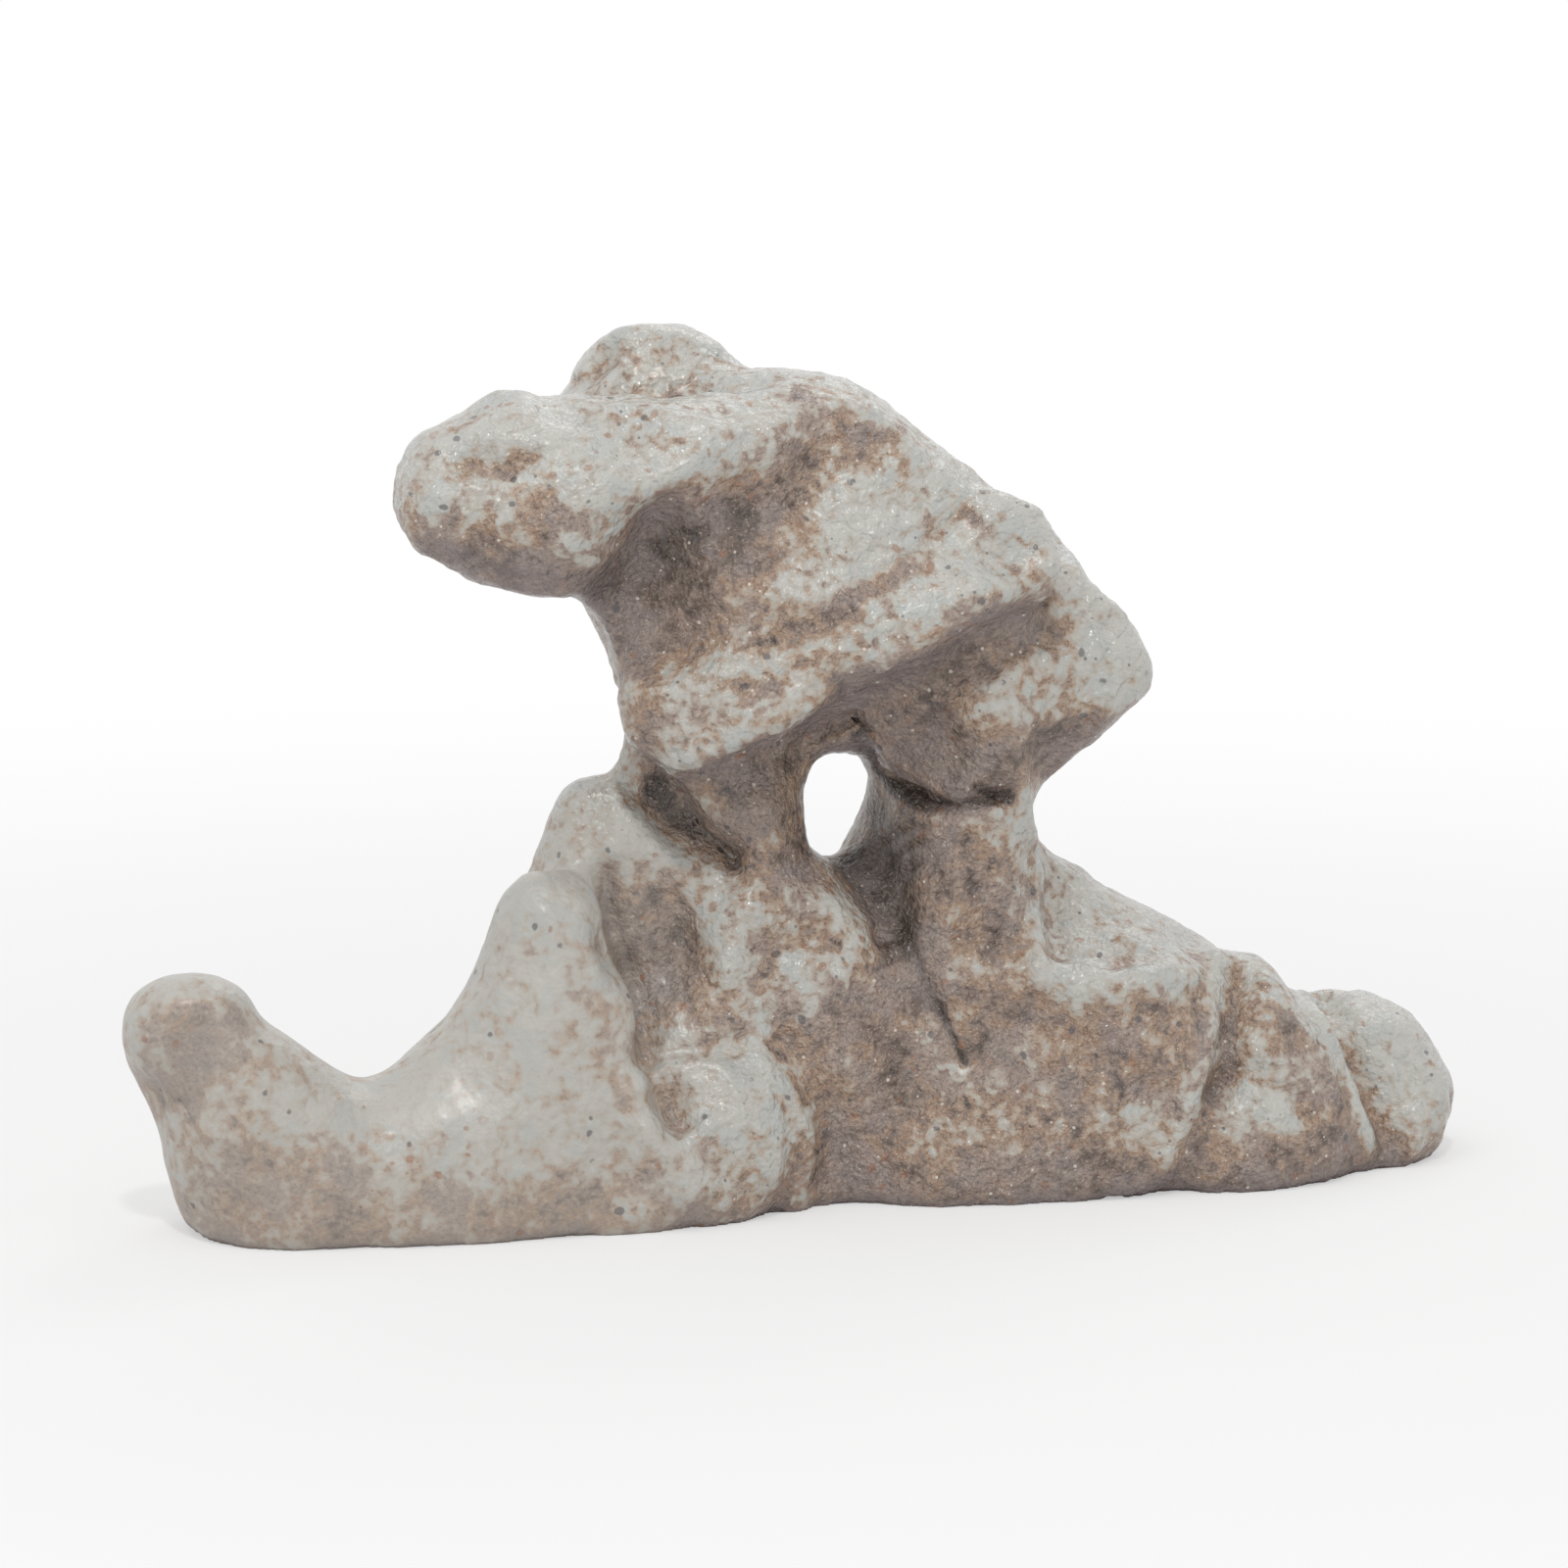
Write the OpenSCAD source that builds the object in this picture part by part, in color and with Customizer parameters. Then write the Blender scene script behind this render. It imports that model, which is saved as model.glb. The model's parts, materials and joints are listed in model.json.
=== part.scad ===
// Brush rest in the form of a scholar's rock, hand-built from lumps of stoneware clay luted together,
// glazed pale grey-green breaking to rust, and fired into one piece.
// Each module named for a rock is one lump as the potter shaped it. Where two lumps meet, the one
// pressed on later takes the shape of the earlier one, so they touch face to face along a seam.
// Millimetres, +Z up. X runs along the rock, -Y is the front. The ground is z = 0.

/* [Overall] */
// From the middle line of the rock to the tip of the left spur
left_reach = 54; // [48:1:60]
// From the middle line of the rock to the end of the boulder on the right
right_reach = 63; // [57:1:69]
// From the middle line to the front of the foot
front_depth = 16; // [14:0.5:18]
// From the middle line to the back of the foot
back_depth = 20; // [18:0.5:23]
// Radius of the soft edge round the foot
foot_round = 2.5; // [1.6:0.1:3.2]
// Unevenness of the hand-pressed lumps, in percent of their width
uneven = 5; // [0:0.5:8]

/* [Left spur] */
// Width of the spur with the rounded knob, left of the brush valley
spur_w = 30.5; // [28:0.5:35]
// Depth of the spur
spur_d = 21; // [18:0.5:24]
// Height of the spur
spur_h = 22.2; // [19:0.2:25]
// How far the spur stands behind the front line
spur_back = 1; // [0:0.1:2]
// Across the brush valley, from the middle of the spur to the middle of the slab
valley = 13.2; // [11:0.1:15]

/* [Left peak] */
// Width of the pale slab right of the brush valley
left_peak_w = 35.4; // [32:0.2:39]
// Depth of the slab
left_peak_d = 20; // [17:0.5:23]
// Height of the slab
left_peak_h = 29.6; // [26:0.2:33]
// From the middle of the slab to the middle of the back peak
peak_step = 13.1; // [11:0.1:15]
// From the middle of the slab to the middle of the front toe
toe_step = 12.3; // [10.5:0.1:14]

/* [Back peak] */
// Width of the rounded peak behind the slab
back_peak_w = 29.4; // [26:0.2:33]
// Depth of the back peak
back_peak_d = 22; // [19:0.5:25]
// Height of the back peak
back_peak_h = 36; // [33:0.2:37.6]
// How far the back peak stands behind the front line
back_peak_back = 6; // [4.5:0.1:8]

/* [Front toe] */
// Width of the low toe right of the slab
toe_w = 32.4; // [29:0.2:36]
// Depth of the toe
toe_d = 19; // [16:0.5:22]
// Height of the toe
toe_h = 15.5; // [13:0.2:18]

/* [Centre cascade] */
// Width of the middle rock that carries the left pillar
cascade_w = 32; // [29:0.2:35]
// Depth of the middle rock
cascade_d = 22; // [19:0.5:25]
// Height of the middle rock
cascade_h = 30; // [28:0.2:32]
// How far the middle rock stands behind the front line
cascade_back = 4; // [3:0.1:5]

/* [Right block] */
// Width of the broad block at the front right
block_w = 40; // [37:0.2:43]
// Depth of the block
block_d = 22; // [19:0.5:25]
// Height of the block
block_h = 22; // [19.5:0.1:24]
// From the middle of the block to the middle of the right fold
fold_step = 22; // [20:0.1:24]
// Turn of the block about the upright, in degrees
block_turn = -6; // [-9:0.5:-2]
// How far the block stands behind the front line
block_back = 1; // [0:0.1:2]

/* [Rear shoulder] */
// Width of the sloping shoulder behind the block
shoulder_w = 33; // [30:0.2:36]
// Depth of the shoulder
shoulder_d = 26; // [23:0.5:29]
// Height of the shoulder
shoulder_h = 27.2; // [25:0.2:29]
// How far the shoulder stands behind the front line
shoulder_back = 5.5; // [4:0.1:7]

/* [Right fold] */
// Width of the folded rock right of the block
fold_w = 23; // [20.5:0.1:26]
// Depth of the fold
fold_d = 25; // [22:0.5:28]
// Height of the fold
fold_h = 18.6; // [16.5:0.1:20.5]

/* [End boulder] */
// Width of the boulder at the right end
boulder_w = 20; // [18:0.1:23]
// Depth of the boulder
boulder_d = 20; // [17:0.5:23]
// Height of the boulder
boulder_h = 13.9; // [12:0.1:16]
// How far the boulder stands behind the front line
boulder_back = 4.5; // [3:0.1:6]

/* [Back rocks] */
// Width of the long mound along the back left
mound_w = 48.6; // [45:0.2:53]
// Depth of the mound
mound_d = 20; // [18:0.5:23]
// Height of the mound
mound_h = 18; // [16:0.2:20]
// Width of the heel along the back right
heel_w = 49; // [45:0.2:53]
// Depth of the heel
heel_d = 20; // [18:0.5:23]
// Height of the heel
heel_h = 17; // [15:0.2:19]

/* [Window] */
// Height of the window through the rock
window_h = 9.5; // [8:0.1:11]
// Width of the window, from the left pillar to the rear one
window_w = 7; // [5.8:0.1:8.2]

/* [Pillars] */
// Width of the left pillar at its waist
left_pillar_w = 11; // [9:0.1:13]
// Depth of the left pillar
left_pillar_d = 14; // [11:0.5:16]
// Width of the rear pillar at its waist
rear_pillar_w = 13.2; // [11.5:0.1:15]
// Depth of the rear pillar
rear_pillar_d = 18; // [15:0.5:20]
// Width of the rusty right pillar at its waist
right_pillar_w = 11.4; // [10:0.1:12.6]
// Depth of the right pillar
right_pillar_d = 16; // [14:0.5:18]

/* [Hanging lobe] */
// Drop of the round lobe that sits on the two right pillars, below the top of the window
lobe_drop = 5.5; // [4.5:0.1:6.5]
// Width of the hanging lobe
lobe_w = 16.6; // [15:0.1:18]
// Depth of the hanging lobe
lobe_d = 20; // [18:0.5:22]
// Height of the hanging lobe
lobe_h = 17; // [15:0.2:19]

/* [Neck] */
// Width of the neck that carries the head
neck_w = 43; // [40:0.5:46]
// Depth of the neck
neck_d = 24; // [22:0.5:26]
// Height of the neck
neck_h = 22; // [20:0.2:24]

/* [Ledge] */
// Slope of the ledge across the front of the head, in degrees
ledge_slope = 25; // [22:0.5:28]
// Length of the ledge along its slope
ledge_l = 37; // [34:0.2:40]
// Thickness of the ledge
ledge_t = 13.5; // [12:0.1:15]
// Depth of the ledge
ledge_d = 21; // [18:0.5:24]
// How far the ledge stands out in front of the middle line
ledge_out = 16.3; // [15:0.1:17.6]

/* [Side lobe] */
// From the middle line to the tip of the lobe at the right of the head
side_reach = 35.4; // [33:0.2:38]
// Width of the side lobe
side_w = 18; // [16:0.2:21]
// Depth of the side lobe
side_d = 19; // [17:0.5:21]
// Height of the side lobe
side_h = 23.8; // [21.6:0.2:26]

/* [Nose] */
// From the middle line to the tip of the nose
nose_reach = 30.2; // [28:0.2:34]
// Thickness of the nose, top to bottom
nose_t = 18; // [16:0.2:20]
// Depth of the nose
nose_d = 20; // [18:0.5:22]

/* [Crown and summit] */
// Height of the head, from the top of the window to the summit
head_h = 35.4; // [33:0.2:38]
// Width of the crown
crown_w = 44; // [41:0.5:47]
// Depth of the crown
crown_d = 27; // [25:0.5:29]
// Height of the crown
crown_h = 19.8; // [18:0.2:22]
// How far the crown stays below the summit
crown_step = 3.5; // [2.2:0.1:4.6]
// Width of the summit rock behind the crown
summit_w = 30; // [27:0.5:33]
// Depth of the summit rock
summit_d = 18; // [16:0.5:20]
// Height of the summit rock
summit_h = 19.3; // [17.5:0.1:21.5]
// Width of the cheek at the back of the head
cheek_w = 36; // [33:0.5:39]
// Depth of the cheek
cheek_d = 22; // [20:0.5:24]
// Height of the cheek
cheek_h = 22.8; // [21:0.2:24.6]

/* [Hidden] */
// Sides of each ring, rings between foot and crown, rings in each rounded end
sides = 16;
rise = 6;
turn_in = 3;
// Depth of clay below the ground line, sliced off to leave the flat foot
below = 1.5;
// Share of a lump's outline that is left flat on the ground
sole = 0.9;
// Outline fullness, left and right: 2 is an ellipse, larger is squarer
soft = [2.2, 2.2];
full = [2.6, 2.6];
square_right = [2.2, 3.2];
square_left = [3.2, 2.3];
// Shape of a rounded end: 2 is a ball, nearer 1 comes to a rounded point
ball = 2;
knob = 1.6;
peak = 1.25;
// Levels of the window and of the head
sill_drop = 1.5;
sill_z = cascade_h - sill_drop;
soffit_z = sill_z + window_h;
summit_z = soffit_z + head_h;
crown_z = summit_z - crown_step;
// The two sides of the window, from the middle line
window_left = 4.5;
window_right = window_left + window_w;
left_pillar_x = window_left - left_pillar_w / 2;
rear_pillar_x = window_right + rear_pillar_w / 2;
lobe_z = soffit_z - lobe_drop;
// Middles of the rocks on the ground: each is placed from its neighbour or from the pillar it carries
spur_x = spur_w / 2 - left_reach;
peak_x = spur_x + valley;
back_peak_x = peak_x + peak_step;
toe_x = peak_x + toe_step;
cascade_step = 2;
block_step = 3;
shoulder_step = 11.4;
cascade_x = left_pillar_x + cascade_step;
block_x = rear_pillar_x + block_step;
shoulder_x = rear_pillar_x + shoulder_step;
mound_x = (peak_x + cascade_x) / 2;
heel_lap = 11.3;
heel_x = mound_x + (mound_w + heel_w) / 2 - heel_lap;
// How deep each pillar is pressed into the rock below, and how far all of them run up into the head
left_pillar_root = 9;
rear_pillar_root = 18.5;
right_pillar_root = 12;
pillar_top = 4.5;
// The waist of each pillar is this share of its full width
left_waist = 0.67;
rear_waist = 0.555;
right_waist = 0.76;
// Middles of the lumps of the head, from side to side
lobe_step = 0.4;
neck_step = 1;
crown_lean = 2;
ledge_start = 16.1;
lobe_x = rear_pillar_x - lobe_step;
neck_x = window_left + neck_step;
crown_x = neck_x - crown_lean;
ledge_x = neck_x - ledge_start;
summit_step = 7.5;
cheek_step = 2.5;
// Where the nose is rooted in the crown, right of the middle line
nose_root = 14;
// Turn of the ledge about its own length, so that its lip points down
ledge_tip = 22;
// Middles of the upper lumps, front to back
left_pillar_y = -2;
rear_pillar_y = 2;
right_pillar_y = -4.2;
lobe_y = -2.6;
neck_y = -1.4;
side_y = -1.5;
nose_y = -4;
crown_y = -0.5;
summit_y = 7;
cheek_y = 5;
// How far lumps of the head reach down over the pillars, or sit below the crown
neck_sunk = 4;
side_sunk = 5.2;
cheek_sunk = 1;
nose_step = 0.7;
ledge_rise = 4.2;
// The origin sits under the middle of the whole rock
origin_x = (right_reach - left_reach) / 2;
origin_y = (back_depth - front_depth) / 2;
pale = "#c9cdc6";
warm = "#b9a692";
rust = "#9a7458";
shade = "#7d726c";

// Smooth run through four values, from the second to the third
function run(a, b, c, d, t) =
  0.5 * (2 * b + (c - a) * t + (2 * a - 5 * b + 4 * c - d) * t * t + (3 * b - a - 3 * c + d) * t * t * t);

// Row of an outline table at share u of its length
function row_at(rows, u) =
  let(n = len(rows) - 1, i = min(floor(u * n), n - 1))
  run(rows[max(i - 1, 0)], rows[i], rows[i + 1], rows[min(i + 2, n)], u * n - i);

// Sine or cosine bent so that the ring is squarer than an ellipse
function bent(v, fullness) = sign(v) * pow(abs(v), 2 / fullness);

// Hand-pressed unevenness round a ring, at a level in percent of the height
function pressed(a, level) = 1 + uneven * (sin(2 * a + 3 * level) + sin(3 * a - 4 * level)) / 200;

// One ring of a lump: row in percent of the size, shrunk about its own middle, at height z
function ring(row, size, shrink, z, fullness) =
  let(
    left = row[1] * size.x / 100,
    right = row[2] * size.x / 100,
    front = row[3] * size.y / 100,
    back = row[4] * size.y / 100
  )
  [for (i = [0 : sides - 1])
    let(a = 360 * i / sides, f = fullness[cos(a) < 0 ? 0 : 1], k = shrink * pressed(a, 100 * z / size.z))
    [
      (left + right) / 2 + k * (right - left) / 2 * bent(cos(a), f),
      (front + back) / 2 + k * (back - front) / 2 * bent(sin(a), f),
      z
    ]];

// Share of the width left at share t of the way up a rounded end
function dome(t, shape) = sqrt(1 - pow(t, shape));

// Middle of a row, at height z
function spine(row, size, z) =
  [(row[1] + row[2]) * size.x / 200, (row[3] + row[4]) * size.y / 200, z];

// Rings from the first row to the last, between two heights
function body_rings(rows, size, low, high, fullness) =
  [for (i = [0 : rise])
    let(row = row_at(rows, i / rise))
    ring(row, size, 1, low + (high - low) * row[0] / 100, fullness)];

// Rings of the rounded end above the last row
function top_rings(row, size, upper, fullness, shape) =
  [for (f = [1 : turn_in])
    let(t = sin(90 * f / (turn_in + 1)))
    ring(row, size, dome(t, shape), size.z - upper * (1 - t), fullness)];

// Closed skin over a stack of rings, with a point at each end
module skin(rings, bottom, top) {
  last = len(rings) - 1;
  tip = len(rings) * sides;
  bands = [for (r = [0 : last - 1], i = [0 : sides - 1])
    let(j = (i + 1) % sides, p = r * sides, q = p + sides)
    each [[p + i, q + i, p + j], [p + j, q + i, q + j]]];
  ends = [for (i = [0 : sides - 1])
    let(j = (i + 1) % sides)
    each [[tip, i, j], [tip + 1, last * sides + j, last * sides + i]]];
  polyhedron(points = concat([for (r = rings) each r], [bottom, top]), faces = concat(bands, ends), convexity = 4);
}

// A lump closed by a rounded end below and above, each a given part of its height in percent.
// Rows are [level, left, right, front, back] in percent of the height, width and depth.
module lump(size, rows, lower, upper, fullness = soft, shape = ball) {
  first = rows[0];
  last = rows[len(rows) - 1];
  low = size.z * lower / 100;
  high = size.z * upper / 100;
  bottom_rings = [for (f = [1 : turn_in])
    let(a = 90 * f / (turn_in + 1))
    ring(first, size, sin(a), low * (1 - cos(a)), fullness)];
  skin(
    concat(
      bottom_rings,
      body_rings(rows, size, low, size.z - high, fullness),
      top_rings(last, size, high, fullness, shape)
    ),
    spine(first, size, 0),
    spine(last, size, size.z)
  );
}

// A lump that stands on the ground with a soft edge; its clay runs on below the ground line.
// Its rounded end is a given part of its height, in percent.
module rock(size, rows, upper, fullness = soft, shape = peak) {
  first = rows[0];
  last = rows[len(rows) - 1];
  high = size.z * upper / 100;
  foot_rings = [for (f = [0 : turn_in - 1])
    let(a = 90 * f / turn_in)
    ring(first, size, sole + (1 - sole) * sin(a), foot_round * (1 - cos(a)), fullness)];
  skin(
    concat(
      [ring(first, size, sole / 2, -below, fullness)],
      foot_rings,
      body_rings(rows, size, foot_round, size.z - high, fullness),
      top_rings(last, size, high, fullness, shape)
    ),
    spine(first, size, -below),
    spine(last, size, size.z)
  );
}

// Puts a lump down with its front edge a given way behind the front line
module from_front(x, back, d) {
  translate([x, back - front_depth + d / 2, 0])
    children();
}

// Puts a lump down with its back edge on the back line
module from_back(x, d) {
  translate([x, back_depth - d / 2, 0])
    children();
}

// Everything below the ground line
module ground() {
  translate([-2 * left_reach, -4 * front_depth, -3 * below])
    cube([2 * left_reach + 2 * right_reach, 4 * front_depth + 4 * back_depth, 3 * below]);
}

module left_spur_form() {
  from_front(spur_x, spur_back, spur_d)
    rock([spur_w, spur_d, spur_h], [
      [0, -34, 50, -48, 50],
      [24, -37, 42, -50, 48],
      [44, -39, 28, -47, 42],
      [62, -46.5, 14, -43, 36],
      [86, -50, -1, -36, 26],
      [100, -49.5, -12, -32, 20]
    ], 20, soft, ball);
}

module left_peak_form() {
  from_front(peak_x, 0, left_peak_d)
    rock([left_peak_w, left_peak_d, left_peak_h], [
      [0, -50, 50, -50, 50],
      [20, -44, 46, -50, 48],
      [38, -25, 41.7, -47, 44],
      [58, -10, 37, -42, 38],
      [80, 0, 34, -35, 30],
      [100, 6, 32, -28, 22]
    ], 20, square_right);
}

module back_peak_form() {
  from_front(back_peak_x, back_peak_back, back_peak_d)
    rock([back_peak_w, back_peak_d, back_peak_h], [
      [0, -50, 50, -50, 50],
      [40, -36.7, 48, -45, 45],
      [62, -27, 44, -39, 38],
      [80, -24, 36, -34, 30],
      [100, -18, 29, -28, 22]
    ], 18, soft, knob);
}

module front_toe_form() {
  from_front(toe_x, 0, toe_d)
    rock([toe_w, toe_d, toe_h], [
      [0, -50, 46, -50, 50],
      [30, -45, 49, -49, 48],
      [70, -34, 48, -46, 44],
      [100, -14, 42, -41, 38]
    ], 26, square_right);
}

module centre_cascade_form() {
  from_front(cascade_x, cascade_back, cascade_d)
    rock([cascade_w, cascade_d, cascade_h], [
      [0, -47, 50, -47, 50],
      [15, -47, 50, -50, 48],
      [40, -44, 48, -50, 46],
      [65, -38, 42, -46, 43],
      [85, -33, 35, -41, 38],
      [100, -28, 29, -36, 34]
    ], 15);
}

module right_block_form() {
  from_front(block_x, block_back, block_d)
    rotate([0, 0, block_turn])
      rock([block_w, block_d, block_h], [
        [0, -48, 50, -50, 50],
        [20, -38, 49, -50, 50],
        [43, -28, 47, -49, 46],
        [66, -25, 46, -46, 42],
        [89, -24, 45, -42, 36],
        [100, -22, 43, -39, 34]
      ], 16, square_right, ball);
}

module rear_shoulder_form() {
  from_front(shoulder_x, shoulder_back, shoulder_d)
    rock([shoulder_w, shoulder_d, shoulder_h], [
      [0, -48, 48.5, -46, 50],
      [25, -48, 50, -48, 48],
      [45, -45, 49, -46, 45],
      [64, -41, 46, -42, 41],
      [82, -37, 34, -38, 35],
      [100, -28, 9, -27, 26]
    ], 12);
}

module right_fold_form() {
  from_front(block_x + fold_step, 0, fold_d)
    rock([fold_w, fold_d, fold_h], [
      [0, -50, 50, -50, 50],
      [25, -45, 46.5, -50, 48],
      [54, -38, 40, -47, 43],
      [79, -33, 33, -42, 37],
      [100, -26, 24, -37, 31]
    ], 27, square_left);
}

module end_boulder_form() {
  from_front(right_reach - boulder_w / 2, boulder_back, boulder_d)
    rock([boulder_w, boulder_d, boulder_h], [
      [0, -50, 48, -50, 50],
      [30, -47.5, 50, -49, 48],
      [62, -42.5, 46, -45, 43],
      [100, -34, 39, -38, 36]
    ], 26, full, ball);
}

module rear_mound_form() {
  from_back(mound_x, mound_d)
    rock([mound_w, mound_d, mound_h], [
      [0, -50, 50, -50, 50],
      [30, -43, 49, -50, 49],
      [65, -34, 44, -49, 45],
      [100, -22, 32, -46, 38]
    ], 47, soft, ball);
}

module rear_heel_form() {
  from_back(heel_x, heel_d)
    rock([heel_w, heel_d, heel_h], [
      [0, -50, 50, -50, 50],
      [30, -48, 48, -50, 48],
      [65, -46, 42, -49, 44],
      [100, -42, 28, -46, 38]
    ], 47, soft, ball);
}

module left_pillar_form() {
  translate([left_pillar_x, left_pillar_y, sill_z - left_pillar_root])
    lump([left_pillar_w / left_waist, left_pillar_d, left_pillar_root + window_h + pillar_top], [
      [0, -36, 36, -40, 44],
      [25, -36, 38, -44, 46],
      [50, -34, 33, -44, 44],
      [64, -35, 32, -44, 44],
      [82, -45, 40, -47, 46],
      [100, -50, 50, -50, 50]
    ], 13, 9);
}

module rear_pillar_form() {
  translate([rear_pillar_x, rear_pillar_y, sill_z - rear_pillar_root])
    lump([rear_pillar_w / rear_waist, rear_pillar_d, rear_pillar_root + window_h + pillar_top], [
      [0, -50, 50, -50, 50],
      [30, -48, 46, -48, 50],
      [52, -37, 38, -40, 46],
      [66, -28, 34, -35, 40],
      [80, -25, 32, -33, 38],
      [100, -32, 34, -38, 42]
    ], 9, 6);
}

module right_pillar_form() {
  translate([rear_pillar_x, right_pillar_y, block_h - right_pillar_root])
    lump([right_pillar_w / right_waist, right_pillar_d, lobe_z + pillar_top - block_h + right_pillar_root], [
      [0, -50, 34, -34, 50],
      [25, -53, 35, -40, 50],
      [46, -51, 36, -44, 50],
      [66, -42, 36, -43, 50],
      [85, -38, 38, -42, 50],
      [100, -40, 40, -42, 50]
    ], 11, 7);
}

module hanging_lobe_form() {
  translate([lobe_x, lobe_y, lobe_z])
    lump([lobe_w, lobe_d, lobe_h], [
      [0, -36, 38, -36, 38],
      [25, -44, 46, -46, 46],
      [55, -48, 48, -50, 50],
      [100, -46, 42, -42, 46]
    ], 16, 18, full);
}

module neck_form() {
  translate([neck_x, neck_y, soffit_z - neck_sunk])
    lump([neck_w, neck_d, neck_h], [
      [0, -36, -6, -26, 34],
      [18, -35.5, 30, -34, 40],
      [42, -37.5, 34, -42, 44],
      [68, -42.5, 36, -46, 48],
      [100, -48, 36, -50, 50]
    ], 14, 14, full);
}

module ledge_form() {
  translate([ledge_x, ledge_d / 2 - ledge_out, soffit_z + ledge_rise])
    rotate([0, 90 - ledge_slope, 0])
      rotate([0, 0, ledge_tip])
        lump([ledge_t, ledge_d, ledge_l], [
          [0, -28, 42, -34, 44],
          [20, -44, 47, -48, 50],
          [45, -50, 48, -50, 50],
          [70, -46, 48, -50, 48],
          [88, -36, 48, -49, 44],
          [100, -22, 46, -44, 38]
        ], 9, 11, full);
}

module side_lobe_form() {
  translate([side_reach - side_w / 2, side_y, soffit_z - side_sunk])
    lump([side_w, side_d, side_h], [
      [0, -45, -5, -34, 36],
      [14, -48, 12, -42, 44],
      [28, -50, 32, -48, 48],
      [44, -50, 47, -50, 50],
      [60, -50, 47, -48, 50],
      [80, -50, 35, -44, 46],
      [100, -46, 20, -36, 40]
    ], 8, 21, soft, peak);
}

module nose_form() {
  translate([nose_root, nose_y, crown_z - nose_step - nose_t / 2])
    rotate([0, -90, 0])
      lump([nose_t, nose_d, nose_root + nose_reach], [
        [0, -30, 26, -20, 50],
        [20, -42, 38, -38, 50],
        [45, -50, 45, -48, 48],
        [68, -50, 46, -50, 44],
        [83, -42, 47, -47, 38],
        [93, -33, 42, -42, 32],
        [100, -26, 36, -36, 26]
      ], 9, 10, full);
}

module crown_form() {
  translate([crown_x, crown_y, crown_z - crown_h])
    lump([crown_w, crown_d, crown_h], [
      [0, -42, 42, -50, 50],
      [28, -45, 45, -50, 50],
      [55, -42, 36, -48, 47],
      [78, -32, 29, -45, 40],
      [100, -23, 23, -40, 32]
    ], 20, 23, full, peak);
}

module summit_form() {
  translate([crown_x - summit_step, summit_y, summit_z - summit_h])
    lump([summit_w, summit_d, summit_h], [
      [0, -38, 44, -42, 42],
      [35, -43, 44, -47, 46],
      [62, -43, 36, -46, 42],
      [84, -40, 28, -41, 34],
      [100, -32, 20, -36, 28]
    ], 21, 33, full, ball);
}

module rear_cheek_form() {
  translate([neck_x + cheek_step, cheek_y, soffit_z - cheek_sunk])
    lump([cheek_w, cheek_d, cheek_h], [
      [0, -34, 38, -38, 38],
      [30, -44, 47, -47, 47],
      [60, -48, 48, -50, 50],
      [100, -44, 40, -46, 42]
    ], 26, 31, full, ball);
}

// Moves the rock so that the origin is under its middle
module placed() {
  translate([-origin_x, -origin_y, 0])
    children();
}

module left_spur() {
  color(pale)
    placed()
      difference() {
        left_spur_form();
        ground();
        left_peak_form();
      }
}

module left_peak() {
  color(pale)
    placed()
      difference() {
        left_peak_form();
        ground();
      }
}

module back_peak() {
  color(pale)
    placed()
      difference() {
        back_peak_form();
        ground();
        left_peak_form();
        left_spur_form();
        front_toe_form();
      }
}

module front_toe() {
  color(pale)
    placed()
      difference() {
        front_toe_form();
        ground();
        left_peak_form();
      }
}

module centre_cascade() {
  color(warm)
    placed()
      difference() {
        centre_cascade_form();
        ground();
        left_peak_form();
        front_toe_form();
        back_peak_form();
      }
}

module right_block() {
  color(rust)
    placed()
      difference() {
        right_block_form();
        ground();
        centre_cascade_form();
      }
}

module rear_shoulder() {
  color(warm)
    placed()
      difference() {
        rear_shoulder_form();
        ground();
        centre_cascade_form();
        right_block_form();
        right_fold_form();
      }
}

module right_fold() {
  color(rust)
    placed()
      difference() {
        right_fold_form();
        ground();
        right_block_form();
      }
}

module end_boulder() {
  color(pale)
    placed()
      difference() {
        end_boulder_form();
        ground();
        right_fold_form();
        rear_shoulder_form();
      }
}

module rear_mound() {
  color(warm)
    placed()
      difference() {
        rear_mound_form();
        ground();
        left_spur_form();
        left_peak_form();
        back_peak_form();
        front_toe_form();
        centre_cascade_form();
      }
}

module rear_heel() {
  color(warm)
    placed()
      difference() {
        rear_heel_form();
        ground();
        centre_cascade_form();
        right_block_form();
        rear_shoulder_form();
        right_fold_form();
        end_boulder_form();
        rear_mound_form();
      }
}

module left_pillar() {
  color(shade)
    placed()
      difference() {
        left_pillar_form();
        back_peak_form();
        centre_cascade_form();
        ledge_form();
      }
}

module rear_pillar() {
  color(shade)
    placed()
      difference() {
        rear_pillar_form();
        centre_cascade_form();
        right_block_form();
        rear_shoulder_form();
        rear_heel_form();
        right_pillar_form();
        hanging_lobe_form();
      }
}

module right_pillar() {
  color(rust)
    placed()
      difference() {
        right_pillar_form();
        centre_cascade_form();
        right_block_form();
        rear_shoulder_form();
        rear_heel_form();
        hanging_lobe_form();
      }
}

module hanging_lobe() {
  color(shade)
    placed()
      difference() {
        hanging_lobe_form();
        ledge_form();
        crown_form();
      }
}

module neck() {
  color(warm)
    placed()
      difference() {
        neck_form();
        back_peak_form();
        left_pillar_form();
        rear_pillar_form();
        right_pillar_form();
        hanging_lobe_form();
        ledge_form();
        side_lobe_form();
        nose_form();
        crown_form();
        summit_form();
      }
}

module ledge() {
  color(pale)
    placed()
      ledge_form();
}

module side_lobe() {
  color(pale)
    placed()
      difference() {
        side_lobe_form();
        right_pillar_form();
        rear_pillar_form();
        hanging_lobe_form();
        ledge_form();
        crown_form();
      }
}

module nose() {
  color(pale)
    placed()
      difference() {
        nose_form();
        ledge_form();
      }
}

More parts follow.
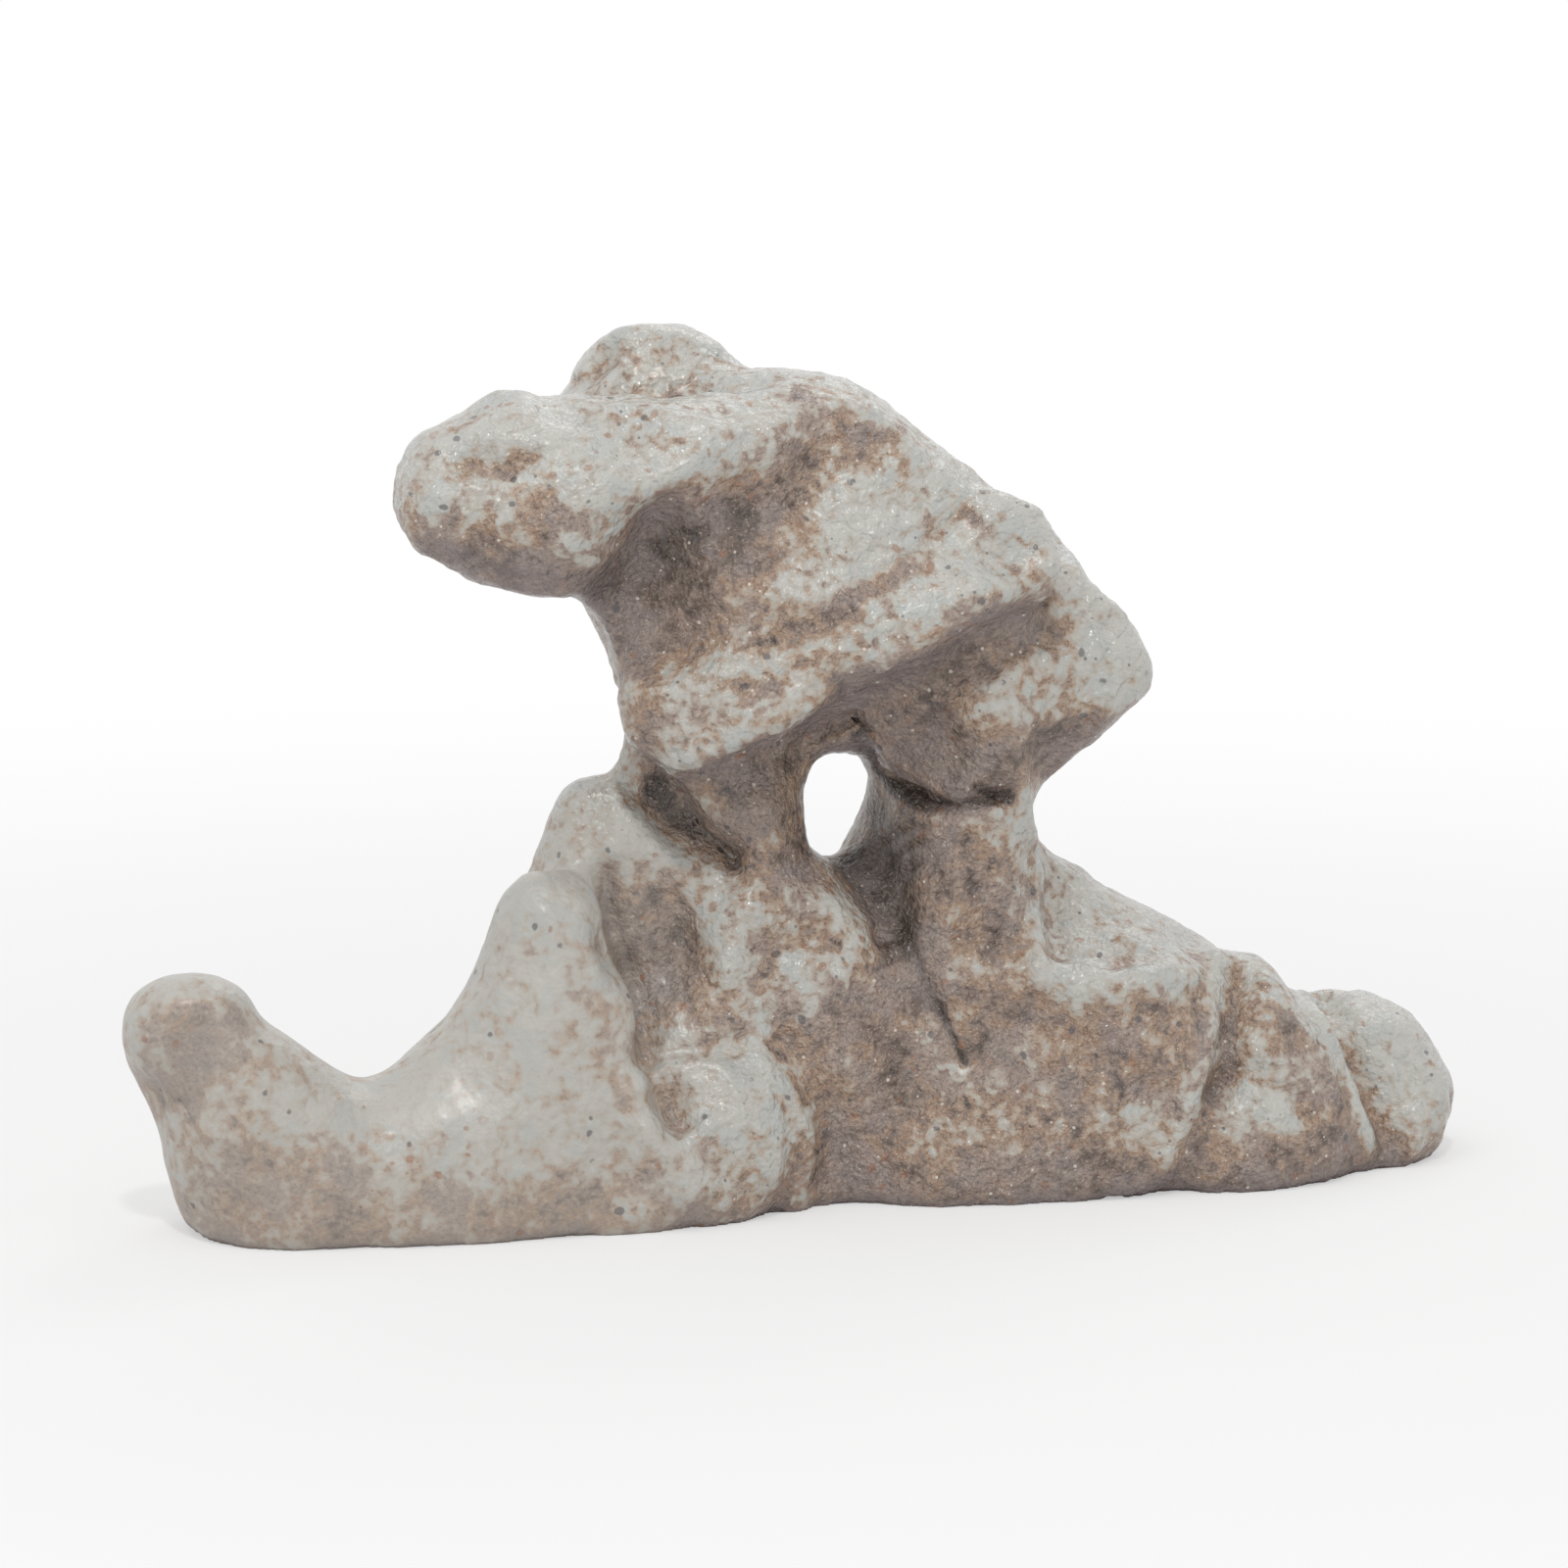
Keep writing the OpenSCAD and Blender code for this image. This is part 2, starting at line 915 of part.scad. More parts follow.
module crown() {
  color(pale)
    placed()
      difference() {
        crown_form();
        ledge_form();
        nose_form();
      }
}

module summit() {
  color(pale)
    placed()
      difference() {
        summit_form();
        nose_form();
        crown_form();
      }
}

module rear_cheek() {
  color(warm)
    placed()
      difference() {
        rear_cheek_form();
        left_pillar_form();
        rear_pillar_form();
        hanging_lobe_form();
        neck_form();
        ledge_form();
        side_lobe_form();
        nose_form();
        crown_form();
        summit_form();
      }
}

left_spur();
left_peak();
back_peak();
front_toe();
centre_cascade();
right_block();
rear_shoulder();
right_fold();
end_boulder();
rear_mound();
rear_heel();
left_pillar();
rear_pillar();
right_pillar();
hanging_lobe();
neck();
ledge();
side_lobe();
nose();
crown();
summit();
rear_cheek();
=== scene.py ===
"""Looks of a brush rest shaped as a scholar's rock, in mottled stoneware glaze.

The lumps of clay come from the frame. They are luted into one body, worked over by hand, and cut back
into lumps, so that the glaze runs across every seam without a break. Sizes are in metres, apart from
values whose names end in _mm and pixels of the photograph's 1600 by 1600 frame.
"""

import json
import logging
import math
from dataclasses import dataclass, field
from enum import Enum
from typing import Iterable, Sequence

import bpy
import numpy as np
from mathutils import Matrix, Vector, noise
from mathutils.bvhtree import BVHTree


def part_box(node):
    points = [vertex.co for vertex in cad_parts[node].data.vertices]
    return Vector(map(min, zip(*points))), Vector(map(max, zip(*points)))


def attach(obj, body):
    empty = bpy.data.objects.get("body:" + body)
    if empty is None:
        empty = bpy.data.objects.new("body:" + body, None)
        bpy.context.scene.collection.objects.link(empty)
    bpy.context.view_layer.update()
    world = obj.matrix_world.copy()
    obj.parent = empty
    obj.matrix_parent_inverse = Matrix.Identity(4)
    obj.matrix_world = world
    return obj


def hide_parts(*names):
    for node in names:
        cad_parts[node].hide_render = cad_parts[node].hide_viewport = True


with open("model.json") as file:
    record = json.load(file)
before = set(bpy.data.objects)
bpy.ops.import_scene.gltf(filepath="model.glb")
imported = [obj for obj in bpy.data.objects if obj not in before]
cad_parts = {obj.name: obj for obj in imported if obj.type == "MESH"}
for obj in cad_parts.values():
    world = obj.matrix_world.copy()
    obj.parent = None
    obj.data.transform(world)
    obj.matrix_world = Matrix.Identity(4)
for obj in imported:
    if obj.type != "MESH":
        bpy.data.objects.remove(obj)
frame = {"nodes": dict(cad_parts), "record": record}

LOG = logging.getLogger("brush_rest")
MM = 0.001
BODY = "root"
EDGE_FALL = 1.6
WHITE = (1.0, 1.0, 1.0, 1.0)

Pixel = tuple[float, float]
Span = tuple[float, float]
Triple = tuple[float, float, float]
Colour = tuple[float, float, float, float]
Socket = bpy.types.NodeSocket
LOBE_SEAM = ((876, 752), (895, 788), (918, 808), (947, 820), (976, 824), (1010, 820), (1031, 817))


def linear(red: int, green: int, blue: int) -> Colour:
    """Turns a display colour of 0 to 255 into the linear values that a shader takes.

    Args:
        red: Red, 0 to 255.
        green: Green, 0 to 255.
        blue: Blue, 0 to 255.

    Returns:
        The linear colour, with an alpha of 1.
    """
    return (*(((v / 255 + 0.055) / 1.055) ** 2.4 if v > 10 else v / 3294.6 for v in (red, green, blue)), 1.0)


def gathered() -> tuple[np.ndarray, np.ndarray, list[list[int]], np.ndarray]:
    """Gathers the lumps of the frame, in the order of their names.

    Returns:
        The points, the outward direction at each, the corners of each face, and each face's lump.
    """
    points, normals, faces, owner, count = [], [], [], [], 0
    for index, name in enumerate(sorted(frame["nodes"])):
        mesh = frame["nodes"][name].data
        for key, rows in (("co", points), ("normal", normals)):
            values = np.empty(len(mesh.vertices) * 3)
            mesh.vertices.foreach_get(key, values)
            rows.append(values.reshape(-1, 3))
        faces += [[v + count for v in face.vertices] for face in mesh.polygons]
        owner += [index] * len(mesh.polygons)
        count += len(mesh.vertices)
    return np.concatenate(points), np.concatenate(normals), faces, np.array(owner)


def smooth(value: np.ndarray, low: float, high: float) -> np.ndarray:
    """Rises smoothly from 0 at low to 1 at high."""
    t = np.clip((value - low) / (high - low), 0.0, 1.0)
    return t * t * (3 - 2 * t)


def unit(vectors: np.ndarray) -> np.ndarray:
    """Scales each row to length 1."""
    return vectors / np.maximum(np.linalg.norm(vectors, axis=1, keepdims=True), 1e-12)


def shown(name: str, data: bpy.types.ID) -> bpy.types.Object:
    """Makes an object of a mesh, lamp or camera, and gives it to the scene."""
    made = bpy.data.objects.new(name, data)
    bpy.context.scene.collection.objects.link(made)
    return made


def sides(faces: np.ndarray) -> np.ndarray:
    """Gives the four sides of every face, as pairs of points."""
    return np.concatenate([faces[:, [k, (k + 1) % 4]] for k in range(4)])


def twins(pairs: np.ndarray) -> tuple[np.ndarray, np.ndarray]:
    """Finds pairs of numbers that come twice.

    Args:
        pairs: The pairs, each with its smaller number first.

    Returns:
        Where the first of each two stands, and where the second stands.
    """
    order = np.lexsort((pairs[:, 1], pairs[:, 0]))
    ranked = pairs[order]
    same = (ranked[1:] == ranked[:-1]).all(axis=1)
    return order[:-1][same], order[1:][same]


def joined(count: int, links: np.ndarray) -> np.ndarray:
    """Finds which things hang together.

    Args:
        count: How many things there are.
        links: Pairs of things that touch.

    Returns:
        For each thing, the first thing of its group.
    """
    group = np.arange(count)
    while True:
        before = group.copy()
        least = np.minimum(group[links[:, 0]], group[links[:, 1]])
        np.minimum.at(group, links[:, 0], least)
        np.minimum.at(group, links[:, 1], least)
        group = group[group]
        if (group == before).all():
            return group


@dataclass(frozen=True)
class Viewpoint:
    """Where the photograph was taken from, and how its pixels fall on the rock."""

    target_mm: Triple = (-4.5, -15.0, 37.0)
    azimuth: float = -15.0
    elevation: float = 10.0
    distance_mm: float = 450.0
    frame_px: float = 1600.0
    px_per_mm: float = 12.4
    sensor_mm: float = 36.0
    clip_mm: float = 10.0

    def back(self) -> Vector:
        """Gives the direction from the target to the camera."""
        a, e = math.radians(self.azimuth), math.radians(self.elevation)
        return Vector((math.sin(a) * math.cos(e), -math.cos(a) * math.cos(e), math.sin(e)))

    def across(self) -> Vector:
        """Gives the direction to the right in the picture."""
        a = math.radians(self.azimuth)
        return Vector((math.cos(a), math.sin(a), 0.0))

    def place(self) -> Vector:
        """Gives the camera's place."""
        return (Vector(self.target_mm) + self.back() * self.distance_mm) * MM

    def turned(self, right: float, up: float, toward: float) -> Vector:
        """Gives a direction in the rock's frame from one seen by the camera.

        Args:
            right: Its part to the right in the picture.
            up: Its part up in the picture.
            toward: Its part toward the camera.

        Returns:
            A unit vector.
        """
        across, back = self.across(), self.back()
        return (across * right + back.cross(across) * up + back * toward).normalized()

    def ray(self, pixel: Pixel) -> Vector:
        """Gives the direction in which a pixel of the photograph looks.

        Args:
            pixel: Across and down, in the photograph's pixels.

        Returns:
            A unit vector from the camera.
        """
        right, back = self.across(), self.back()
        along = (pixel[0] - self.frame_px / 2) / self.px_per_mm
        down = (pixel[1] - self.frame_px / 2) / self.px_per_mm
        return (right * along - back.cross(right) * down - back * self.distance_mm).normalized()

    def camera(self) -> None:
        """Makes the camera and gives it to the scene."""
        data = bpy.data.cameras.new("camera")
        data.sensor_width = self.sensor_mm
        data.lens = self.sensor_mm * self.distance_mm * self.px_per_mm / self.frame_px
        data.clip_start = self.clip_mm * MM
        made = shown("camera", data)
        made.location = self.place()
        made.rotation_euler = (-self.back()).to_track_quat("-Z", "Y").to_euler()
        bpy.context.scene.camera = made


@dataclass
class Clay:
    """The body of clay as a skin of four-sided faces."""

    points: np.ndarray
    faces: np.ndarray
    shrink: float = 0.5
    swell: float = 0.52
    smear: float = 0.5
    edges: np.ndarray = field(init=False)
    degree: np.ndarray = field(init=False)

    def __post_init__(self) -> None:
        """Finds the edges and how many meet at each point."""
        self.edges = np.unique(np.sort(sides(self.faces), axis=1), axis=0)
        self.degree = np.bincount(self.edges.ravel(), minlength=len(self.points)).astype(float)

    @classmethod
    def remeshed(cls, points: np.ndarray, faces: list, pitch: float) -> "Clay":
        """Wraps any closed faces in one even skin.

        Args:
            points: The points of the faces.
            faces: The corners of each face.
            pitch: Width of the even faces.

        Returns:
            The skin.
        """
        mesh = bpy.data.meshes.new("wrap")
        mesh.from_pydata(points.tolist(), [], faces)
        body = shown("wrap", mesh)
        wrap = body.modifiers.new("wrap", "REMESH")
        wrap.mode = "VOXEL"
        wrap.voxel_size = pitch
        done = body.evaluated_get(bpy.context.evaluated_depsgraph_get()).to_mesh()
        co = np.empty(len(done.vertices) * 3)
        done.vertices.foreach_get("co", co)
        ends = np.empty(len(done.loops), dtype=np.int64)
        done.loops.foreach_get("vertex_index", ends)
        bpy.data.objects.remove(body)
        bpy.data.meshes.remove(mesh)
        return cls(co.reshape(-1, 3), ends.reshape(-1, 4))

    def mean(self, values: np.ndarray) -> np.ndarray:
        """Averages values over each point's neighbours.

        Args:
            values: One value or one row for each point.

        Returns:
            The averages, in the same shape.
        """
        a, b = self.edges.T
        n = len(self.points)
        columns = values.reshape(n, -1)
        out = [
            np.bincount(a, weights=c[b], minlength=n) + np.bincount(b, weights=c[a], minlength=n)
            for c in columns.T
        ]
        return (np.stack(out, axis=1) / self.degree[:, None]).reshape(values.shape)

    def blurred(self, values: np.ndarray, rounds: int) -> np.ndarray:
        """Spreads values over the skin by repeated averaging."""
        for _ in range(rounds):
            values = 0.5 * (values + self.mean(values))
        return values

    def normals(self) -> np.ndarray:
        """Gives the outward direction at each point."""
        corner = self.points[self.faces]
        across = np.cross(corner[:, 2] - corner[:, 0], corner[:, 3] - corner[:, 1])
        n = len(self.points)
        total = np.stack(
            [
                sum(np.bincount(self.faces[:, k], weights=across[:, axis], minlength=n) for k in range(4))
                for axis in range(3)
            ],
            axis=1,
        )
        return unit(total)

    def relax(self, rounds: int) -> None:
        """Smooths the skin without shrinking it."""
        for _ in range(rounds):
            for step in (self.shrink, -self.swell):
                self.points = self.points + step * (self.mean(self.points) - self.points)

    def fill(self, rounds: int) -> None:
        """Smears clay into the hollow angles between lumps, and leaves what stands proud.

        Args:
            rounds: How many times to smear.
        """
        for _ in range(rounds):
            out = self.normals()
            lift = np.einsum("ij,ij->i", self.mean(self.points) - self.points, out)
            self.points = self.points + (self.smear * np.maximum(lift, 0.0))[:, None] * out

    def tree(self) -> BVHTree:
        """Makes a search tree of the skin."""
        return BVHTree.FromPolygons(self.points.tolist(), self.faces.tolist())


class Tool(Enum):
    """How a stroke of the modelling tool shapes the clay across its path."""

    THUMB = "thumb"
    EDGE = "edge"

    def profile(self, distance: np.ndarray) -> np.ndarray:
        """Gives the strength across the path.

        Args:
            distance: Distance from the path, in widths.

        Returns:
            The strength, 1 on the path and 0 far from it.
        """
        if self is Tool.THUMB:
            return np.exp(-(distance**2))
        return np.exp(-EDGE_FALL * distance)


@dataclass(frozen=True)
class Stroke:
    """A stroke over the clay, along pixels of the photograph."""

    name: str
    path: tuple[Pixel, ...]
    width_mm: float
    depth_mm: float
    tool: Tool = Tool.THUMB


@dataclass(frozen=True)
class Facet:
    """A flat that a paddle beat into the clay."""

    name: str
    spot: Pixel
    facing: Triple
    radius_mm: float
    depth_mm: float


@dataclass(frozen=True)
class Patch:
    """A place where the glaze lies thick and pale, or thin and brown; some patches lay painted shade in
    hollows and under overhangs, and painted highlight along edges.
    """

    name: str
    path: tuple[Pixel, ...]
    width_mm: float
    pale: float


@dataclass
class Projector:
    """Finds where a path over the photograph falls on the clay."""

    view: Viewpoint
    tree: BVHTree
    step_mm: float = 0.8
    steps_per_width: float = 4.0
    facing_away: float = -0.1
    far_m: float = 1.0

    def path(self, pixels: Sequence[Pixel], step_mm: float) -> tuple[np.ndarray, np.ndarray]:
        """Follows a path of pixels over the clay.

        Args:
            pixels: The path's points.
            step_mm: How far apart it is felt.

        Returns:
            The points that it meets, and the outward direction at each.
        """
        ends = list(pixels) if len(pixels) > 1 else [pixels[0], pixels[0]]
        spots, facing = [], []
        for (x0, y0), (x1, y1) in zip(ends, ends[1:]):
            count = max(1, round(math.hypot(x1 - x0, y1 - y0) / self.view.px_per_mm / step_mm))
            for i in range(count + 1):
                pixel = (x0 + (x1 - x0) * i / count, y0 + (y1 - y0) * i / count)
                spot, normal, _, _ = self.tree.ray_cast(self.view.place(), self.view.ray(pixel))
                if spot is not None:
                    spots.append(spot)
                    facing.append(normal)
        return np.array(spots).reshape(-1, 3), np.array(facing).reshape(-1, 3)

    def reach(
        self, points: np.ndarray, normals: np.ndarray, pixels: Sequence[Pixel], width_mm: float
    ) -> np.ndarray:
        """Measures how far each point is from a path, leaving out points that face away from it.

        Args:
            points: Points of the clay.
            normals: Their outward directions.
            pixels: The path.
            width_mm: Width of what follows the path.

        Returns:
            The distances.
        """
        spots, facing = self.path(pixels, min(self.step_mm, width_mm / self.steps_per_width))
        best = np.full(len(points), self.far_m)
        for spot, normal in zip(spots, facing):
            away = np.linalg.norm(points - spot, axis=1)
            away[normals @ normal < self.facing_away] = self.far_m
            best = np.minimum(best, away)
        return best


@dataclass(frozen=True)
class HandMarks:
    """The small marks all over the clay: dents of thumbs and fingers, drag wrinkles and pits.

    They are shallow on the smooth slab and spur at the left, and deep on the head and at the right.
    """

    smooth_share: float = 0.25
    rough_from_x_mm: float = -30.0
    rough_over_x_mm: float = 16.0
    rough_from_z_mm: float = 28.0
    rough_over_z_mm: float = 8.0
    waist_mm: float = 33.0
    waist_fade_mm: float = 4.0
    head_slope: float = 32.0
    ridge_slope: float = -52.0
    thumb_mm: float = 0.2
    thumb_size_mm: float = 8.5
    finger_mm: float = 0.28
    finger_size_mm: float = 3.4
    finger_start: Triple = (7.0, 3.0, 1.0)
    drag_mm: float = 0.15
    drag_size_mm: Triple = (4.2, 2.6, 1.5)
    drag_finer: tuple[float, float, int] = (0.8, 2.0, 2)
    pit_mm: float = 0.09
    pit_size_mm: float = 1.3
    pit_finer: tuple[float, float, int] = (0.9, 2.1, 2)

    def relief_mm(self, place: Vector) -> float:
        """Gives how far the clay stands proud at a place.

        Args:
            place: The place, in millimetres.

        Returns:
            The height in millimetres, below zero in a dimple.
        """
        along_x = (place.x - self.rough_from_x_mm) / self.rough_over_x_mm
        up_z = (place.z - self.rough_from_z_mm) / self.rough_over_z_mm
        rough = self.smooth_share + (1 - self.smooth_share) * min(1.0, max(0.0, along_x, up_z))
        thumb = (self.thumb_mm + self.thumb_mm * rough) * noise.noise(place / self.thumb_size_mm)
        finger = self.finger_mm * noise.noise(place / self.finger_size_mm + Vector(self.finger_start))
        pit = self.pit_mm * noise.fractal(place / self.pit_size_mm, *self.pit_finer)
        return thumb + rough * (finger + self.wrinkle_mm(place) + pit)

    def wrinkle_mm(self, place: Vector) -> float:
        """Gives the height of the drag wrinkles, which run up the head and down the ridge."""
        slope = math.radians(self.head_slope if place.z > self.waist_mm else self.ridge_slope)
        along = place.x * math.cos(slope) + place.z * math.sin(slope)
        across = place.z * math.cos(slope) - place.x * math.sin(slope)
        fade = min(1.0, abs(place.z - self.waist_mm) / self.waist_fade_mm)
        size = self.drag_size_mm
        spot = Vector((along / size[0], place.y / size[1], across / size[2]))
        return self.drag_mm * fade * noise.fractal(spot, *self.drag_finer)


@dataclass
class LutedBody:
    """The lumps of the frame, luted into one body and worked over by hand."""

    view: Viewpoint
    wrap_mm: float = 0.9
    skin_mm: float = 0.32
    lap_mm: float = 0.03
    soften_rounds: int = 14
    smear_rounds: int = 46
    smeared_rounds: int = 4
    even_rounds: int = 6
    beaten_rounds: int = 3
    push_rounds: int = 6
    mark_rounds: int = 2
    flat_fade: Span = (0.55, 1.3)
    sole_mm: float = 0.15
    marks: HandMarks = HandMarks()
    strokes: tuple[Stroke, ...] = (
        Stroke("slab edge", ((592, 905), (622, 985), (645, 1080), (668, 1150), (704, 1215)), 2.0, -1.1),
        Stroke("behind the slab edge", ((618, 900), (648, 985), (668, 1080), (694, 1150)), 1.6, 1.7),
        Stroke("top of the window", ((838, 775), (855, 764), (872, 766)), 1.4, 0.9),
        Stroke("knob of the spur", ((185, 1025), (220, 1020)), 3.2, -0.4),
        Stroke("neck of the spur", ((140, 1125), (178, 1132)), 2.8, 1.8),
        Stroke("dip of the slab", ((470, 1010), (500, 1080)), 5.0, 0.5),
        Stroke("hollow under the back peak", ((655, 935), (672, 985)), 4.4, 0.5),
        Stroke("right side of the back peak", ((668, 830), (700, 900), (745, 985)), 1.6, -0.6),
        Stroke("crevice left of the left pillar", ((662, 798), (690, 835), (715, 862), (745, 880)), 1.7, 2.4),
        Stroke("deepest of the crevice", ((690, 838), (715, 864), (742, 880)), 0.8, 1.0, Tool.EDGE),
        Stroke("crevice floor", ((700, 862), (752, 886)), 1.0, 0.5, Tool.EDGE),
        Stroke("front of the left pillar", ((770, 800), (790, 850)), 1.8, -0.4),
        Stroke("crack of the rise", ((905, 925), (935, 975), (960, 1030), (985, 1085)), 1.0, 0.7, Tool.EDGE),
        Stroke("left of the crack", ((880, 960), (910, 1020), (940, 1080)), 1.8, -0.5),
        Stroke("hollow right of the middle", ((890, 885), (915, 930)), 2.6, 1.2),
        Stroke("bump of the middle", ((800, 940), (850, 960)), 3.2, -0.5),
        Stroke("dent of the middle", ((760, 1000), (800, 1030)), 3.0, 0.6),
        Stroke("seam under the lobe", LOBE_SEAM, 0.9, 1.7, Tool.EDGE),
        Stroke("gap in the seam", ((906, 802), (947, 822)), 0.9, 1.6, Tool.EDGE),
        Stroke("slit above the seam", ((999, 806), (1016, 812), (1031, 810)), 0.6, 1.2, Tool.EDGE),
        Stroke("first streak behind", ((880, 868), (930, 848), (985, 838)), 0.6, 0.4, Tool.EDGE),
        Stroke("second streak behind", ((890, 884), (940, 864), (990, 856)), 0.6, 0.4, Tool.EDGE),
        Stroke("third streak behind", ((905, 900), (950, 882), (990, 876)), 0.6, 0.4, Tool.EDGE),
        Stroke("first wrinkle of the lobe", ((885, 772), (925, 796), (975, 808)), 0.6, 0.35, Tool.EDGE),
        Stroke("second wrinkle of the lobe", ((900, 762), (940, 785), (990, 797)), 0.6, 0.3, Tool.EDGE),
        Stroke("rib of the right pillar", ((1044, 790), (1050, 850), (1058, 920), (1064, 985)), 1.6, -0.8),
        Stroke("left of the rib", ((1000, 870), (1010, 950)), 2.6, 0.6),
        Stroke("root of the right pillar", ((1078, 905), (1078, 985)), 1.5, 0.8),
        Stroke("lip of the ledge", ((700, 778), (800, 735), (900, 682), (1000, 622), (1066, 584)), 1.6, -1.0),
        Stroke("under the ledge", ((740, 806), (840, 756), (940, 706), (1040, 650)), 3.0, 1.6),
        Stroke("crease over the ledge", ((850, 636), (905, 590), (940, 566), (990, 536)), 1.4, 0.5),
        Stroke("knob of the ledge", ((1022, 532), (1050, 538)), 2.6, -1.5),
        Stroke("right of the knob", ((1074, 520), (1084, 560), (1078, 610)), 1.4, 1.4),
        Stroke("front of the neck", ((640, 650), (700, 610), (780, 560)), 6.0, 0.5),
        Stroke("under the brow", ((640, 590), (700, 545), (760, 515), (800, 500)), 3.4, 1.0),
        Stroke("brow", ((600, 520), (650, 500), (720, 480), (800, 450)), 3.2, -0.5),
        Stroke("rib of the head", ((880, 410), (930, 470), (1000, 520)), 3.4, -0.5),
        Stroke("groove of the head", ((826, 440), (840, 520), (880, 570)), 2.6, 0.8),
        Stroke("edge under the nose", ((424, 512), (483, 532), (561, 548), (611, 566)), 1.8, -0.5),
        Stroke("flat under the nose", ((470, 580), (540, 598), (590, 592)), 2.4, 0.3),
        Stroke("dent on the nose", ((478, 468), (515, 480), (545, 470)), 1.5, 0.9),
        Stroke("knob of the nose", ((490, 412), (535, 412)), 2.4, -0.7),
        Stroke("dip of the nose", ((566, 416), (600, 424)), 2.6, 0.7),
        Stroke("dip before the crown", ((745, 400), (775, 392)), 2.6, 0.6),
        Stroke("ridge of the summit", ((640, 345), (690, 380), (740, 410)), 2.0, -0.5),
        Stroke("side of the summit", ((575, 398), (612, 372)), 1.6, 0.5),
        Stroke("edge of the shelf", ((1075, 1000), (1150, 1012), (1240, 990)), 1.6, -0.6),
        Stroke("shelf", ((1100, 950), (1180, 972)), 3.0, 0.3),
        Stroke("edge of the block", ((1246, 985), (1244, 1040), (1238, 1090), (1190, 1190)), 1.3, -0.95),
        Stroke("behind the block edge", ((1262, 1000), (1258, 1060), (1250, 1120)), 1.7, 1.6),
        Stroke("edge of the fold", ((1326, 1008), (1370, 1075), (1402, 1165)), 1.3, -0.85),
        Stroke("behind the fold edge", ((1345, 1005), (1390, 1070), (1420, 1160)), 1.6, 1.6),
        Stroke("bulge of the fold", ((1290, 1060), (1330, 1110)), 3.0, -0.4),
        Stroke("crease of the fold", ((1250, 1110), (1290, 1100), (1340, 1140)), 1.3, 0.6),
        Stroke("edge of the toe", ((780, 1075), (822, 1130), (834, 1175), (812, 1225)), 1.7, -0.8),
        Stroke("behind the toe", ((802, 1070), (848, 1130), (856, 1180)), 2.0, 1.1),
        Stroke("sweep over the toe", ((650, 1085), (700, 1072), (760, 1066)), 1.4, 0.7),
        Stroke("second sweep", ((660, 1130), (700, 1118), (740, 1130)), 1.2, 0.4),
        Stroke("dent in the block", ((1165, 1115), (1195, 1150)), 2.6, 0.7),
        Stroke("face of the block", ((1040, 1060), (1100, 1120)), 5.0, 0.5),
        Stroke("fold of the side lobe", ((1075, 640), (1110, 690), (1100, 740)), 2.4, 0.9),
        Stroke("edge of the side lobe", ((1100, 590), (1150, 640), (1172, 690)), 1.8, -0.5),
        Stroke("front of the hanging lobe", ((900, 740), (960, 770)), 3.0, 0.6),
    )
    coils: tuple[Stroke, ...] = (
        Stroke("under the nose", ((440, 548), (490, 578), (560, 592), (610, 588)), 3.4, -1.5),
        Stroke("left end of the ledge", ((672, 775), (690, 785)), 2.4, -0.8),
        Stroke("left of the neck", ((646, 640), (660, 690), (668, 740)), 3.4, -2.0),
        Stroke("over the ledge", ((690, 700), (780, 650), (860, 600)), 4.0, -1.0),
        Stroke("ledge", ((720, 760), (860, 700), (1000, 610)), 3.0, -0.7),
        Stroke("knob of the ledge", ((1030, 540), (1056, 560)), 3.0, -1.0),
        Stroke("left side of the summit", ((608, 384), (626, 362)), 2.4, -1.5),
        Stroke("top of the back peak", ((600, 812), (640, 812)), 3.0, -0.5),
        Stroke("brow", ((640, 500), (720, 480), (800, 446)), 3.6, -0.8),
    )
